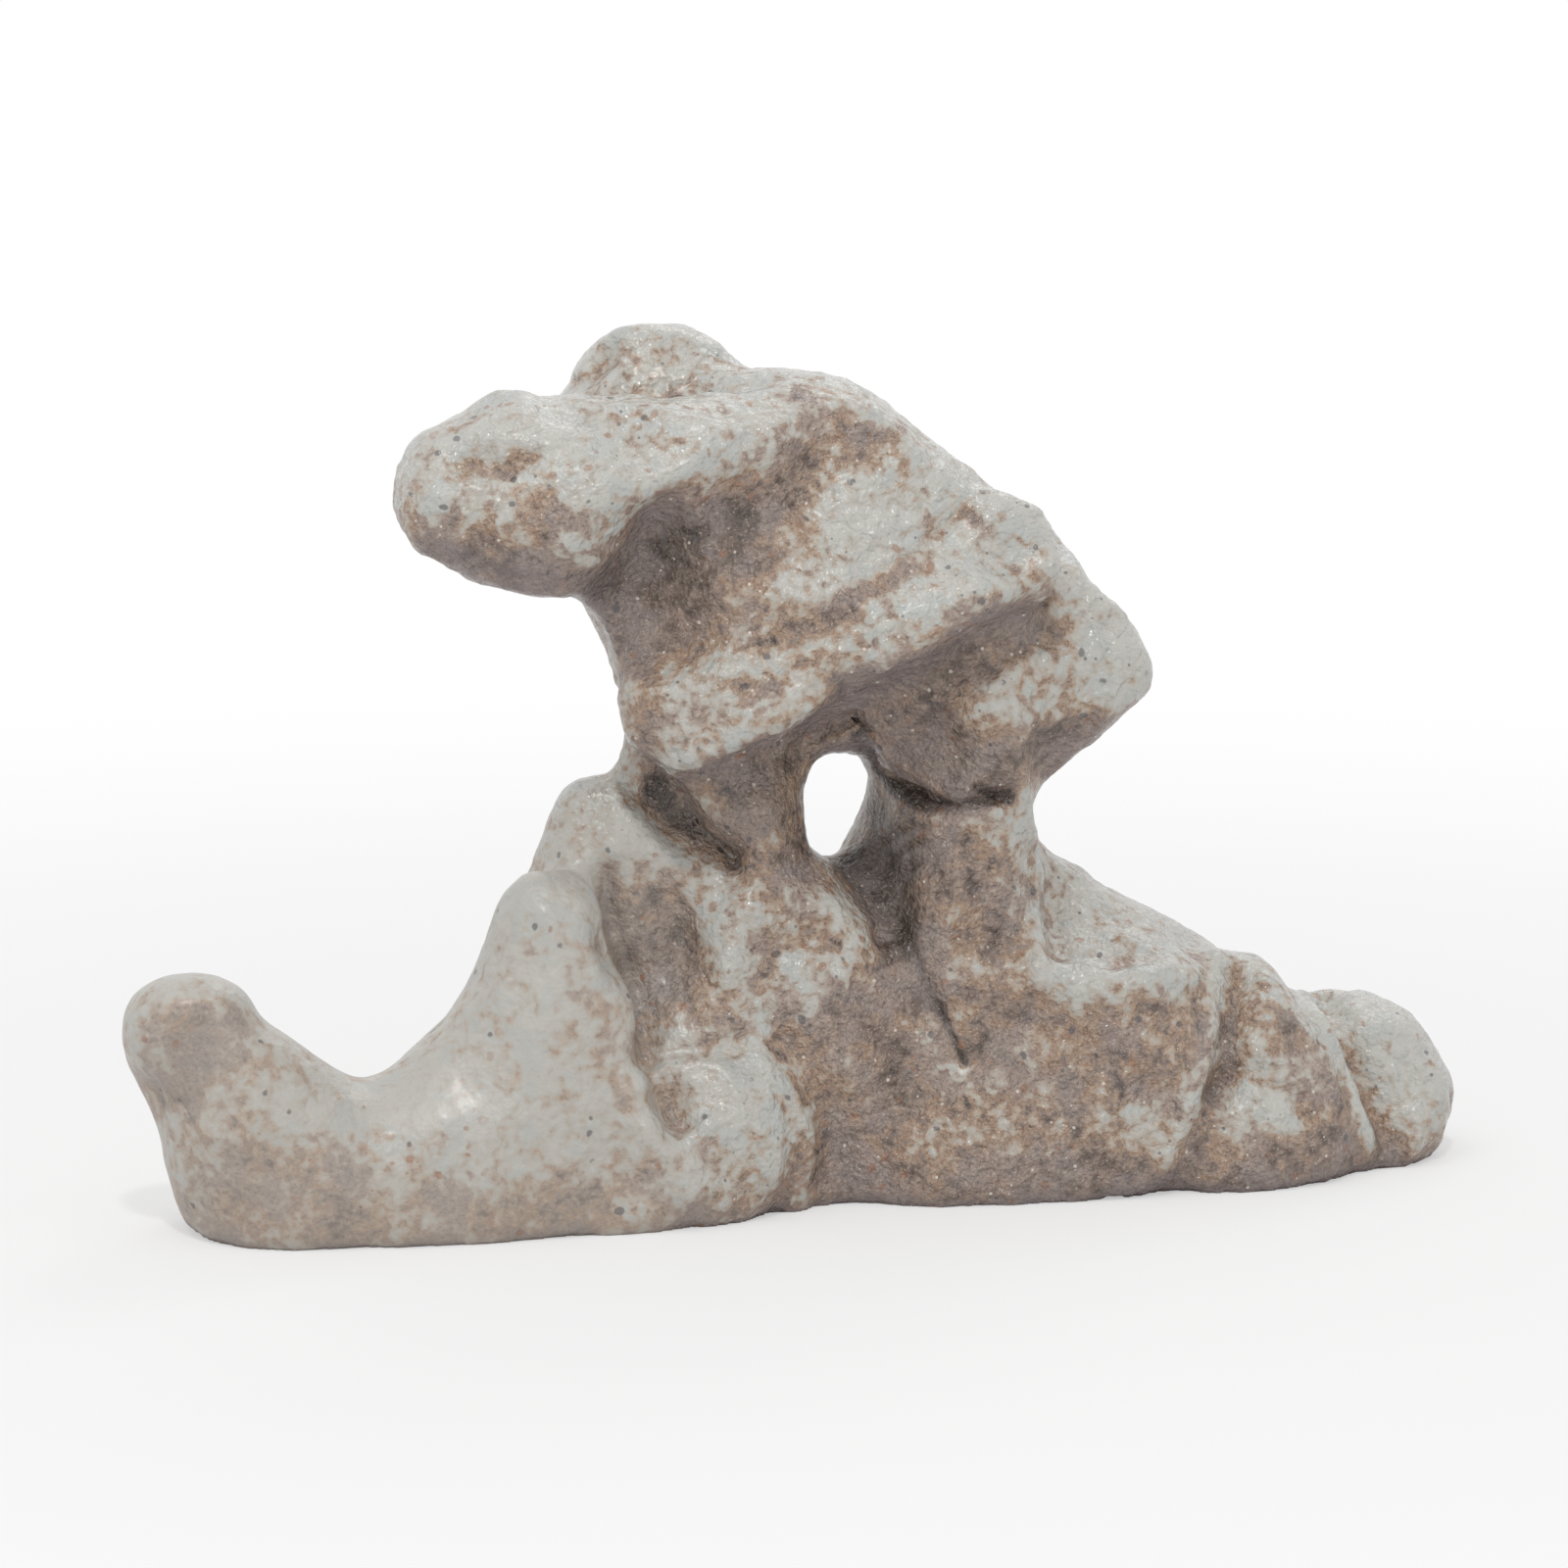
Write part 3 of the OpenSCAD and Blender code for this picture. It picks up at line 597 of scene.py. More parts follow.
    facets: tuple[Facet, ...] = (
        Facet("under the nose", (525, 570), (-0.2, -0.75, 0.62), 9.0, -0.3),
        Facet("front of the nose", (515, 480), (-0.12, 0.25, 0.95), 7.0, 0.4),
        Facet("brow", (700, 440), (0.0, 0.45, 0.9), 8.0, 0.4),
        Facet("hollow of the neck", (700, 590), (-0.35, -0.4, 0.85), 8.0, 0.9),
        Facet("right of the head", (900, 510), (0.32, 0.25, 0.9), 8.0, 0.6),
        Facet("right of the crown", (950, 450), (0.6, 0.62, 0.5), 7.0, 0.3),
        Facet("face of the ledge", (800, 700), (-0.1, 0.12, 1.0), 6.0, 0.5),
        Facet("under the ledge", (900, 738), (0.1, -0.75, 0.65), 8.0, 0.6),
        Facet("end of the ledge", (1040, 560), (0.3, 0.25, 0.9), 3.5, 0.3),
        Facet("side lobe", (1130, 660), (0.42, 0.25, 0.87), 5.5, 0.4),
        Facet("under the side lobe", (1110, 750), (0.3, -0.72, 0.62), 5.5, 0.5),
        Facet("slab", (535, 1030), (-0.14, 0.16, 0.97), 9.0, 0.5),
        Facet("spur", (250, 1130), (-0.12, 0.04, 0.99), 8.0, 0.4),
        Facet("back peak", (608, 860), (-0.2, 0.22, 0.95), 5.0, 0.4),
        Facet("right of the back peak", (662, 950), (0.5, 0.0, 0.86), 6.0, 0.4),
        Facet("toe", (730, 1130), (0.0, 0.35, 0.94), 5.0, 0.4),
        Facet("middle", (830, 1000), (0.2, 0.32, 0.92), 6.0, 0.5),
        Facet("block", (1080, 1110), (0.06, 0.06, 1.0), 10.0, 0.6),
        Facet("shelf", (1130, 955), (0.15, 0.75, 0.65), 6.0, 0.2),
        Facet("fold", (1320, 1085), (0.45, 0.25, 0.86), 5.5, 0.5),
        Facet("end boulder", (1410, 1100), (0.5, 0.2, 0.85), 5.0, 0.4),
        Facet("left of the summit", (632, 378), (-0.6, 0.62, 0.5), 5.0, 0.3),
        Facet("front of the summit", (680, 385), (0.1, 0.5, 0.86), 5.0, 0.5),
    )
    clay: Clay = field(init=False)
    normals: np.ndarray = field(init=False)

    def build(self) -> None:
        """Lutes, softens and models the clay."""
        points, out, faces, _ = gathered()
        rough = Clay.remeshed(points + out * self.lap_mm * MM, faces, self.wrap_mm * MM)
        rough.relax(self.soften_rounds)
        rough.fill(self.smear_rounds)
        rough.relax(self.smeared_rounds)
        self.clay = Clay.remeshed(rough.points, rough.faces.tolist(), self.skin_mm * MM)
        self.clay.relax(self.even_rounds)
        self.work(self.coils)
        tree = self.clay.tree()
        for facet in self.facets:
            self.beat(facet, tree)
        self.clay.relax(self.beaten_rounds)
        self.work(self.strokes)
        self.dimple()
        self.seat()
        self.normals = self.clay.normals()
        LOG.info("clay: %d points", len(self.clay.points))

    def beat(self, facet: Facet, tree: BVHTree) -> None:
        """Beats a flat into the clay, and lets it fade out round the edge.

        Args:
            facet: The flat.
            tree: The skin of the clay before the first flat.
        """
        spot, _, _, _ = tree.ray_cast(self.view.place(), self.view.ray(facet.spot))
        if spot is None:
            LOG.warning("%s: the paddle misses the clay", facet.name)
            return
        facing = np.array(self.view.turned(*facet.facing))
        from_spot = self.clay.points - np.array(spot)
        proud = np.maximum(from_spot @ facing + facet.depth_mm * MM, 0.0)
        away = np.linalg.norm(from_spot, axis=1) / (facet.radius_mm * MM)
        share = 1 - smooth(away, *self.flat_fade)
        self.clay.points = self.clay.points - (share * proud)[:, None] * facing

    def work(self, strokes: Iterable[Stroke]) -> None:
        """Runs strokes of the modelling tools over the clay.

        Args:
            strokes: The strokes.
        """
        pen = Projector(self.view, self.clay.tree())
        out = self.clay.blurred(self.clay.normals(), self.push_rounds)
        shift = np.zeros(len(self.clay.points))
        for stroke in strokes:
            away = pen.reach(self.clay.points, out, stroke.path, stroke.width_mm)
            shift -= stroke.depth_mm * MM * stroke.tool.profile(away / (stroke.width_mm * MM))
        self.clay.points = self.clay.points + shift[:, None] * unit(out)

    def dimple(self) -> None:
        """Leaves the marks of the fingers, and the fine pits of the clay."""
        out = self.clay.blurred(self.clay.normals(), self.mark_rounds)
        lifts = np.array([self.marks.relief_mm(Vector(p)) for p in self.clay.points / MM])
        self.clay.points = self.clay.points + (lifts * MM)[:, None] * out

    def seat(self) -> None:
        """Presses the foot flat on the ground, and keeps the length, depth and height of the frame."""
        low, high = self.limits()
        p = self.clay.points
        p[:, 2] = np.where(p[:, 2] < self.sole_mm * MM, 0.0, p[:, 2])
        least, most = p.min(axis=0), p.max(axis=0)
        self.clay.points = low + (p - least) * (high - low) / (most - least)

    @staticmethod
    def limits() -> tuple[np.ndarray, np.ndarray]:
        """Gives the lowest and highest corners of the whole rock in the frame."""
        boxes = [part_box(name) for name in frame["nodes"]]
        low = np.min([np.array(box[0]) for box in boxes], axis=0)
        high = np.max([np.array(box[1]) for box in boxes], axis=0)
        return low, high


@dataclass
class GlazeMap:
    """How thick and pale the glaze lies on each part of the clay, before its fine mottling, with painted
    shade in hollows, crevices and on undersides, and painted highlight along some edges.
    """

    body: LutedBody
    patches: tuple[Patch, ...] = (
        Patch("face of the slab", ((470, 960), (540, 1000), (560, 1090), (500, 1100)), 7.0, 0.22),
        Patch("right of the slab", ((600, 1010), (640, 1130)), 1.6, -0.25),
        Patch("foot of the slab", ((250, 1210), (400, 1222), (560, 1222), (680, 1225)), 2.2, -0.16),
        Patch("end of the foot", ((620, 1195), (650, 1230)), 1.6, 0.4),
        Patch("valley", ((400, 1110), (470, 1130)), 3.0, 0.25),
        Patch("neck of the spur", ((200, 1060), (260, 1150)), 5.0, -0.3),
        Patch("pale of the spur", ((300, 1120), (320, 1140)), 1.8, 0.35),
        Patch("knob of the spur", ((170, 1040), (230, 1030)), 2.4, -0.3),
        Patch("back peak", ((600, 850), (640, 870)), 4.0, 0.2),
        # Painted shade in the hollow under the back peak.
        Patch("hollow under the back peak", ((640, 950), (690, 980)), 3.4, -0.9),
        Patch("rust under the back peak", ((650, 1015), (740, 1025)), 1.6, -0.3),
        Patch("foot of the middle", ((860, 1080), (880, 1150)), 4.0, -0.3),
        Patch("toe", ((700, 1110), (780, 1120)), 3.4, 0.22),
        Patch("foot of the toe", ((740, 1190), (800, 1200)), 3.0, 0.25),
        Patch("block", ((1020, 1060), (1130, 1090), (1180, 1050)), 8.0, -0.38),
        Patch("dent in the block", ((1140, 1130), (1190, 1160)), 2.6, 0.25),
        Patch("over the block", ((1080, 930), (1100, 1000), (1190, 1000)), 3.4, 0.25),
        Patch("fold", ((1290, 1030), (1330, 1080), (1360, 1130)), 3.0, -0.5),
        Patch("foot of the fold", ((1260, 1100), (1340, 1140)), 2.0, 0.1),
        Patch("end boulder", ((1380, 1060), (1430, 1100)), 4.0, 0.5),
        Patch("foot on the right", ((880, 1215), (1100, 1212), (1300, 1195), (1420, 1180)), 3.0, -0.4),
        Patch("rib of the right pillar", ((1010, 870), (1040, 930), (1020, 980)), 3.0, -0.2),
        Patch("top of the rib", ((1040, 850), (1046, 880)), 1.6, 0.4),
        # Painted shade on the downward facet under the nose.
        Patch("under the nose", ((440, 560), (540, 590), (600, 590)), 3.4, -0.45),
        Patch("rust on the nose", ((440, 490), (500, 500), (560, 520)), 2.0, -0.35),
        Patch("top of the nose", ((440, 440), (560, 440), (640, 470), (700, 440)), 2.6, 0.12),
        # Painted shade in the hollow of the neck.
        Patch("hollow of the neck", ((640, 584), (700, 572), (750, 556), (690, 620)), 4.0, -0.7),
        Patch("brown of the brow", ((650, 512), (720, 512), (790, 500)), 3.0, 0.05),
        # Painted shade in the crevice left of the neck.
        Patch("left of the neck", ((620, 640), (650, 720)), 3.0, -0.75),
        Patch("front of the left pillar", ((780, 800), (790, 860)), 3.0, -0.4),
        # Painted highlight lines along the edges of the block, the fold and the toe.
        Patch("edge of the block", ((1246, 985), (1243, 1040), (1238, 1095)), 0.9, 0.6),
        Patch("edge of the fold", ((1326, 1008), (1370, 1075), (1402, 1165)), 0.9, 0.6),
        Patch("edge of the toe", ((780, 1075), (822, 1130), (834, 1175), (815, 1225)), 0.9, 0.1),
        Patch("left end of the lip", ((660, 786), (700, 775), (760, 752)), 0.8, 0.3),
        Patch("rust of the crown", ((820, 400), (880, 440), (870, 480)), 1.8, -0.3),
        Patch("rust of the middle", ((860, 1040), (900, 1080), (930, 1120)), 2.2, -0.3),
        Patch("rust of the slab", ((630, 1000), (648, 1060), (650, 1120)), 1.2, -0.25),
        # Painted shade below the window.
        Patch("sill of the window", ((830, 885), (890, 905), (930, 960)), 3.4, -0.55),
        # Painted shade on the rear pillar, seen through the window.
        Patch("rear pillar", ((930, 850), (960, 900)), 3.2, -0.6),
        Patch("right of the crown", ((850, 420), (880, 450)), 3.4, -0.25),
        Patch("top of the middle", ((740, 900), (800, 900)), 2.6, -0.1),
        Patch("right of the middle", ((900, 960), (920, 1040)), 2.4, -0.3),
        Patch("over the ledge", ((860, 500), (880, 560), (930, 520)), 3.4, 0.35),
        Patch("middle of the head", ((800, 470), (820, 520)), 2.6, -0.4),
        Patch("face of the ledge", ((760, 700), (840, 680), (860, 700)), 2.4, -0.15),
        Patch("end of the ledge", ((980, 560), (1030, 560)), 2.6, 0.4),
        Patch("rust over the ledge", ((820, 640), (930, 580)), 1.8, -0.45),
        Patch("lip of the ledge", ((720, 780), (850, 718), (960, 655), (1050, 600)), 2.1, -0.42),
        # Painted shade under the ledge.
        Patch("under the ledge", ((760, 810), (880, 745), (1000, 680), (1060, 640)), 3.0, -0.4),
        Patch("side lobe", ((1120, 660), (1150, 700)), 3.0, 0.35),
        # Painted shade under the side lobe.
        Patch("under the side lobe", ((1080, 760), (1120, 740)), 2.4, -0.4),
        # Painted shade on the hanging lobe, under the ledge.
        Patch("hanging lobe", ((950, 790), (1010, 780)), 3.4, -1.2),
    )
    shadows: tuple[Patch, ...] = (
        Patch("crevice by the left pillar", ((664, 800), (690, 835), (715, 862), (745, 880)), 1.0, -0.3),
        Patch("under the window", ((872, 872), (920, 884)), 2.0, -0.4),
        Patch("left of the rear pillar", ((880, 800), (900, 840)), 2.2, -0.4),
        Patch("seam under the lobe", LOBE_SEAM, 0.5, -0.5),
        Patch("gap in the seam", ((908, 804), (947, 824)), 0.6, -0.5),
        Patch("slit above the seam", ((999, 806), (1016, 812), (1031, 810)), 0.35, -0.4),
        Patch("crack", ((925, 960), (950, 1010), (985, 1085)), 0.35, -0.35),
        Patch("right of the crack", ((890, 890), (925, 950)), 2.2, -0.25),
        Patch("under the nose", ((610, 600), (680, 560), (750, 530)), 2.4, -0.15),
    )
    even: float = 0.52
    by_rise: float = 0.2
    # Strength of the painted shade in narrow hollows, then in broad hollows.
    hollow_shade: float = 0.55
    broad_hollow_shade: float = 0.16
    by_foot: float = 0.16
    hollow_mm: float = 0.35
    bulk_mm: float = 1.0
    foot_mm: Span = (-7.0, -1.0)
    patch_share: float = 0.6
    thin_limit: float = 0.22
    bare_limit: float = -0.1
    aim_rounds: int = 14
    hollow_rounds: int = 24
    bulk_rounds: int = 160
    flow_rounds: int = 4
    # Spread and depth range of the crevice layer, which is painted shade.
    crevice_shade_rounds: int = 2
    # Slope range of the under layer, which is painted shade on faces that turn downward.
    underside_shade_fall: Span = (0.2, 0.9)
    crevice_shade_mm: Span = (0.28, 0.8)
    sand_x_mm: Span = (-26.0, 2.0)
    sand_z_mm: Span = (26.0, 38.0)
    pale: np.ndarray = field(init=False)
    under: np.ndarray = field(init=False)
    crevice: np.ndarray = field(init=False)
    sand: np.ndarray = field(init=False)

    def spread(self) -> None:
        """Works out where the glaze ran thick, ran thin, or broke, and lays painted shade and painted
        highlight into the same map.
        """
        clay = self.body.clay
        out = unit(clay.blurred(clay.normals(), self.aim_rounds))
        near = self.hollowness_mm(self.hollow_rounds)
        wide = self.hollowness_mm(self.bulk_rounds)
        height = clay.points[:, 2] / MM
        rise = out[:, 2]
        # Paler where the surface faces up.
        pale = self.even + self.by_rise * rise
        # Painted shade: the glaze map is pushed toward brown in narrow and in broad hollows.
        pale -= self.hollow_shade * np.clip(near, -self.hollow_mm, self.hollow_mm)
        pale -= self.broad_hollow_shade * np.clip(wide, -self.bulk_mm, self.bulk_mm)
        pale -= self.by_foot * smooth(-height, *self.foot_mm)
        pen = Projector(self.body.view, clay.tree())
        for patch in self.patches:
            pale += self.patch_share * self.laid(pen, out, patch)
        pale = np.maximum(clay.blurred(pale, self.flow_rounds), self.thin_limit)
        for patch in self.shadows:
            pale += self.laid(pen, out, patch)
        self.pale = np.maximum(pale, self.bare_limit)
        # The under layer is painted shade: faces that turn downward get a greyish mauve tint.
        self.under = smooth(-rise, *self.underside_shade_fall)
        # The crevice layer is painted shade: near-black laid into creases and recesses.
        self.crevice = smooth(clay.blurred(near, self.crevice_shade_rounds), *self.crevice_shade_mm)
        along = clay.points[:, 0] / MM
        self.sand = np.maximum(smooth(along, *self.sand_x_mm), smooth(height, *self.sand_z_mm))
        LOG.info("glaze: pale %s", np.percentile(self.pale, (5, 25, 50, 75, 95)).round(2).tolist())

    def laid(self, pen: Projector, out: np.ndarray, patch: Patch) -> np.ndarray:
        """Gives how much a patch adds to the glaze.

        Args:
            pen: What finds the patch on the clay.
            out: The outward direction at each point.
            patch: The patch.

        Returns:
            What it adds at each point.
        """
        away = pen.reach(self.body.clay.points, out, patch.path, patch.width_mm)
        return patch.pale * np.exp(-((away / (patch.width_mm * MM)) ** 2))

    def hollowness_mm(self, rounds: int) -> np.ndarray:
        """Measures how far each point lies below its surroundings.

        Args:
            rounds: How widely the surroundings reach, in rounds of averaging.

        Returns:
            The depth in millimetres, below zero on a ridge.
        """
        clay = self.body.clay
        around = clay.blurred(clay.points, rounds)
        return np.einsum("ij,ij->i", around - clay.points, clay.normals()) / MM

    def layers(self) -> dict[str, np.ndarray]:
        """Gives each layer by the name under which the glaze reads it."""
        return {"pale": self.pale, "under": self.under, "crevice": self.crevice, "sand": self.sand}


@dataclass(frozen=True)
class Tint:
    """A colour that is laid over the glaze, and how strongly."""

    colour: Colour
    share: float


@dataclass(frozen=True)
class Specks:
    """Round specks in the glaze."""

    gap_mm: float
    radius_mm: float
    share: float
    tint: Tint
    rim: Span = (-0.02, 0.05)


@dataclass(frozen=True)
class Mottle:
    """One size of the glaze's mottling."""

    size_mm: float
    detail: float
    rough: float
    strength: float


class Nodes:
    """Lays out shader nodes and links."""

    def __init__(self, owner: bpy.types.Material | bpy.types.World) -> None:
        """Starts from an empty tree.

        Args:
            owner: The material or world whose tree is filled.
        """
        owner.use_nodes = True
        self.tree = owner.node_tree
        self.tree.nodes.clear()

    def add(self, kind: str, inputs: dict | None = None, **settings: object) -> bpy.types.Node:
        """Adds a node.

        Args:
            kind: The node's type, without its prefix.
            inputs: A value or an output for each named or numbered input.
            settings: Values of the node's own settings.

        Returns:
            The node.
        """
        node = self.tree.nodes.new("ShaderNode" + kind)
        for name, value in settings.items():
            setattr(node, name, value)
        for name, value in (inputs or {}).items():
            if isinstance(value, Socket):
                self.tree.links.new(value, node.inputs[name])
            else:
                node.inputs[name].default_value = value
        return node

    def layer(self, name: str) -> Socket:
        """Reads a layer of the glaze map."""
        return self.add("Attribute", attribute_name=name).outputs["Fac"]

    def sum(self, a: object, b: object, factor: float = 1.0) -> Socket:
        """Gives a plus b times a factor."""
        return self.add("Math", {0: b, 1: factor, 2: a}, operation="MULTIPLY_ADD").outputs[0]

    def times(self, a: object, b: object) -> Socket:
        """Gives a times b."""
        return self.add("Math", {0: a, 1: b}, operation="MULTIPLY").outputs[0]

    def span(self, value: object, low: float, high: float, least: float = 0.0, most: float = 1.0) -> Socket:
        """Runs smoothly from least to most as a value goes from low to high."""
        ends = {"Value": value, "From Min": low, "From Max": high, "To Min": least, "To Max": most}
        return self.add("MapRange", ends, interpolation_type="SMOOTHSTEP").outputs["Result"]

    def noise(self, place: object, size_mm: float, detail: float, rough: float = 0.55) -> Socket:
        """Gives a mottle centred on 0.

        Args:
            place: Where it is read.
            size_mm: Size of its blotches.
            detail: How many finer steps it has.
            rough: How strong the finer steps are.

        Returns:
            Its value.
        """
        inputs = {"Vector": place, "Scale": 1 / (size_mm * MM), "Detail": detail, "Roughness": rough}
        made = self.add("TexNoise", inputs, noise_dimensions="3D")
        return self.add("Math", {0: made.outputs["Fac"], 1: 0.5}, operation="SUBTRACT").outputs[0]

    def specks(self, place: object, kind: Specks) -> Socket:
        """Gives scattered round specks of uneven size.

        Args:
            place: Where they are read.
            kind: How large and how many they are.

        Returns:
            1 in a speck and 0 outside.
        """
        cell = self.add("TexVoronoi", {"Vector": place, "Scale": 1 / (kind.gap_mm * MM)}, feature="F1")
        parts = self.add("SeparateColor", {"Color": cell.outputs["Color"]})
        radius = self.span(parts.outputs[0], 1 - kind.share, 1.0, 0.0, kind.radius_mm / kind.gap_mm)
        inside = self.sum(radius, cell.outputs["Distance"], -1.0)
        return self.span(inside, *kind.rim)

    def mix(self, share: object, a: object, b: object) -> Socket:
        """Blends from colour a to colour b."""
        return self.add("Mix", {0: share, 6: a, 7: b}, data_type="RGBA").outputs[2]

    def ramp(self, value: object, stops: Sequence[tuple[float, tuple]]) -> Socket:
        """Runs through colours as a value rises.

        Args:
            value: The value.
            stops: Where each linear colour stands, and the colour.

        Returns:
            The colour.
        """
        node = self.add("ValToRGB", {"Fac": value})
        band = node.color_ramp
        while len(band.elements) < len(stops):
            band.elements.new(0.5)
        for element, (at, colour) in zip(band.elements, stops):
            element.position = at
            element.color = colour
        return node.outputs["Color"]


@dataclass(frozen=True)
class MottledGlaze:
    """Pale grey-green glaze that breaks to rust where it is thin, over iron-specked stoneware.

    The bands run from the pits and the bare clay over thin, rusty and golden glaze to milky and pale; the
    darkest bands also carry painted shade in hollows.
    """

    bands: tuple = (
        (0.0, linear(74, 64, 58)),
        (0.14, linear(112, 96, 87)),
        (0.28, linear(158, 139, 126)),
        (0.38, linear(168, 139, 116)),
        (0.49, linear(184, 166, 149)),
        (0.6, linear(186, 180, 170)),
        (0.8, linear(195, 193, 186)),
    )
    blue: Tint = Tint(linear(184, 187, 184), 0.7)
    mauve: Tint = Tint(linear(160, 147, 142), 0.6)
    ash: Tint = Tint(linear(112, 95, 84), 0.45)
    sugar: Tint = Tint(linear(206, 190, 170), 0.35)
    # Painted shade colour for faces that turn downward.
    underside_shade_tint: Tint = Tint(linear(150, 138, 138), 0.7)
    # Painted shade colour for crevices.
    crevice_shade_tint: Tint = Tint(linear(52, 45, 42), 0.68)
    slip: Tint = Tint(linear(176, 171, 163), 0.35)
    freckles: Specks = Specks(1.3, 0.42, 0.5, Tint(linear(156, 112, 84), 0.6))
    irons: Specks = Specks(1.9, 0.4, 0.34, Tint(linear(96, 94, 96), 0.75))
    pepper: Specks = Specks(1.0, 0.19, 0.3, Tint(linear(96, 94, 96), 0.7))
    # Painted glints: tiny light specks in the base colour.
    painted_glints: Specks = Specks(0.9, 0.17, 0.4, Tint(linear(236, 226, 214), 0.8))
    mottles: tuple[Mottle, ...] = (
        Mottle(6.0, 1.0, 0.4, 0.45),
        Mottle(2.4, 1.5, 0.45, 0.85),
        Mottle(1.0, 1.0, 0.5, 1.1),
    )
    swirl_size_mm: float = 2.4
    swirl_mm: float = 1.3
    cool_size_mm: float = 3.2
    cool_mottle: Span = (0.0, 0.14)
    cool_at: Span = (0.58, 0.74)
    broken_at: Span = (0.62, 0.42)
    # Where the painted underside shade shows, by glaze thickness.
    underside_shade_at: Span = (0.6, 0.45)
    veil_size_mm: float = 4.5
    veil_mottle: Span = (-0.04, 0.12)
    flock_size_mm: float = 5.0
    flock_mottle: Span = (-0.08, 0.1)
    grain_size_mm: float = 0.36
    ash_grain: Span = (0.03, 0.2)
    sugar_grain: Span = (-0.05, -0.24)
    peel_size_mm: float = 0.9
    grit_size_mm: float = 0.5
    grit_share: float = 0.9
    grit_by_thickness: tuple[float, ...] = (0.36, 0.66, 1.0, 0.22)
    grit_by_sand: Span = (0.25, 1.0)
    peel_by_sand: Span = (0.35, 0.9)
    relief_mm: float = 0.65
    smooth_rough: float = 0.44
    sandy_rough: float = 0.13
    gloss_size_mm: float = 1.1
    gloss_change: float = 0.2
    bend: float = 1.5
    coat: float = 0.25
    coat_rough: float = 0.22

    def dress(self, name: str) -> bpy.types.Material:
        """Makes the glaze.

        Args:
            name: Name of the material.

        Returns:
            The material.
        """
        material = bpy.data.materials.new(name)
        n = Nodes(material)
        place = n.add("TexCoord").outputs["Object"]
        drawn = self.drawn(n, place)
        thick = self.thickness(n, drawn)
        colour = self.colour(n, place, drawn, thick)
        sand = n.layer("sand")
        surface = n.add(
            "BsdfPrincipled",
            {
                "Base Color": colour,
                "Roughness": self.roughness(n, place),
                "Normal": self.relief(n, place, thick, sand),
                "IOR": self.bend,
                "Coat Weight": self.coat,
                "Coat Roughness": self.coat_rough,
            },
        )
        n.add("OutputMaterial", {"Surface": surface.outputs[0]})
        return material

    def drawn(self, n: Nodes, place: object) -> Socket:
        """Draws the place out of shape, so that blotches run and lobe."""
        scale = 1 / (self.swirl_size_mm * MM)
        swirl = n.add("TexNoise", {"Vector": place, "Scale": scale, "Detail": 3.0, "Roughness": 0.6})
        centred = n.add("VectorMath", {0: swirl.outputs["Color"], 1: (0.5, 0.5, 0.5)}, operation="SUBTRACT")
        far = n.add("VectorMath", {0: centred.outputs[0], "Scale": self.swirl_mm * MM}, operation="SCALE")
        return n.add("VectorMath", {0: place, 1: far.outputs[0]}, operation="ADD").outputs[0]

    def thickness(self, n: Nodes, drawn: object) -> Socket:
        """Gives how thick the glaze lies, mottled at three sizes."""
        laid = n.layer("pale")
        mottle = 0.0
        for kind in self.mottles:
            mottle = n.sum(mottle, n.noise(drawn, kind.size_mm, kind.detail, kind.rough), kind.strength)
        return n.sum(laid, n.times(mottle, n.span(laid, 0.1, 0.6, 0.3, 1.0)))

    def colour(self, n: Nodes, place: object, drawn: object, thick: object) -> Socket:
        """Mixes the colour of the glaze, with painted shade in crevices and on downward faces, and painted
        glints.

        Args:
            n: The nodes.
            place: The place on the rock.
            drawn: The same, drawn out of shape.
            thick: How thick the glaze lies.

        Returns:
            The colour.
        """
        sand = n.layer("sand")
        broken = n.span(thick, *self.broken_at)
        cool = n.span(n.noise(drawn, self.cool_size_mm, 1.0), *self.cool_mottle)
        veil = n.span(n.noise(place, self.veil_size_mm, 1.0), *self.veil_mottle)
        flocks = n.span(n.noise(drawn, self.flock_size_mm, 1.0), *self.flock_mottle)
        grain = n.noise(place, self.grain_size_mm, 1.0, 0.7)
        colour = n.ramp(thick, self.bands)
        for where, tint in (
            (n.times(cool, n.span(thick, *self.cool_at)), self.blue),
            (n.times(veil, broken), self.mauve),
            (n.times(n.span(grain, *self.ash_grain), broken), self.ash),
            (n.times(n.span(grain, *self.sugar_grain), broken), self.sugar),
            # Painted shade on faces that turn downward.
            (n.times(n.layer("under"), n.span(thick, *self.underside_shade_at)), self.underside_shade_tint),
            # Painted shade: near-black in crevices.
            (n.layer("crevice"), self.crevice_shade_tint),
            (n.span(sand, 1.0, 0.0), self.slip),
            (n.times(n.specks(drawn, self.freckles), flocks), self.freckles.tint),
            (n.specks(drawn, self.irons), self.irons.tint),
            (n.times(n.specks(place, self.pepper), sand), self.pepper.tint),
            # Painted glints on the thin, rough glaze.
            (n.times(n.specks(place, self.painted_glints), n.times(broken, sand)), self.painted_glints.tint),
        ):
            colour = n.mix(n.times(where, tint.share), colour, tint.colour)
        return colour

    def roughness(self, n: Nodes, place: object) -> Socket:
        """Gives the roughness: silky on the slab and the spur, and glassy where the rock is worked rough."""
        base = n.span(n.layer("sand"), 0.0, 1.0, self.smooth_rough, self.sandy_rough)
        return n.sum(base, n.noise(place, self.gloss_size_mm, 2.0), self.gloss_change)

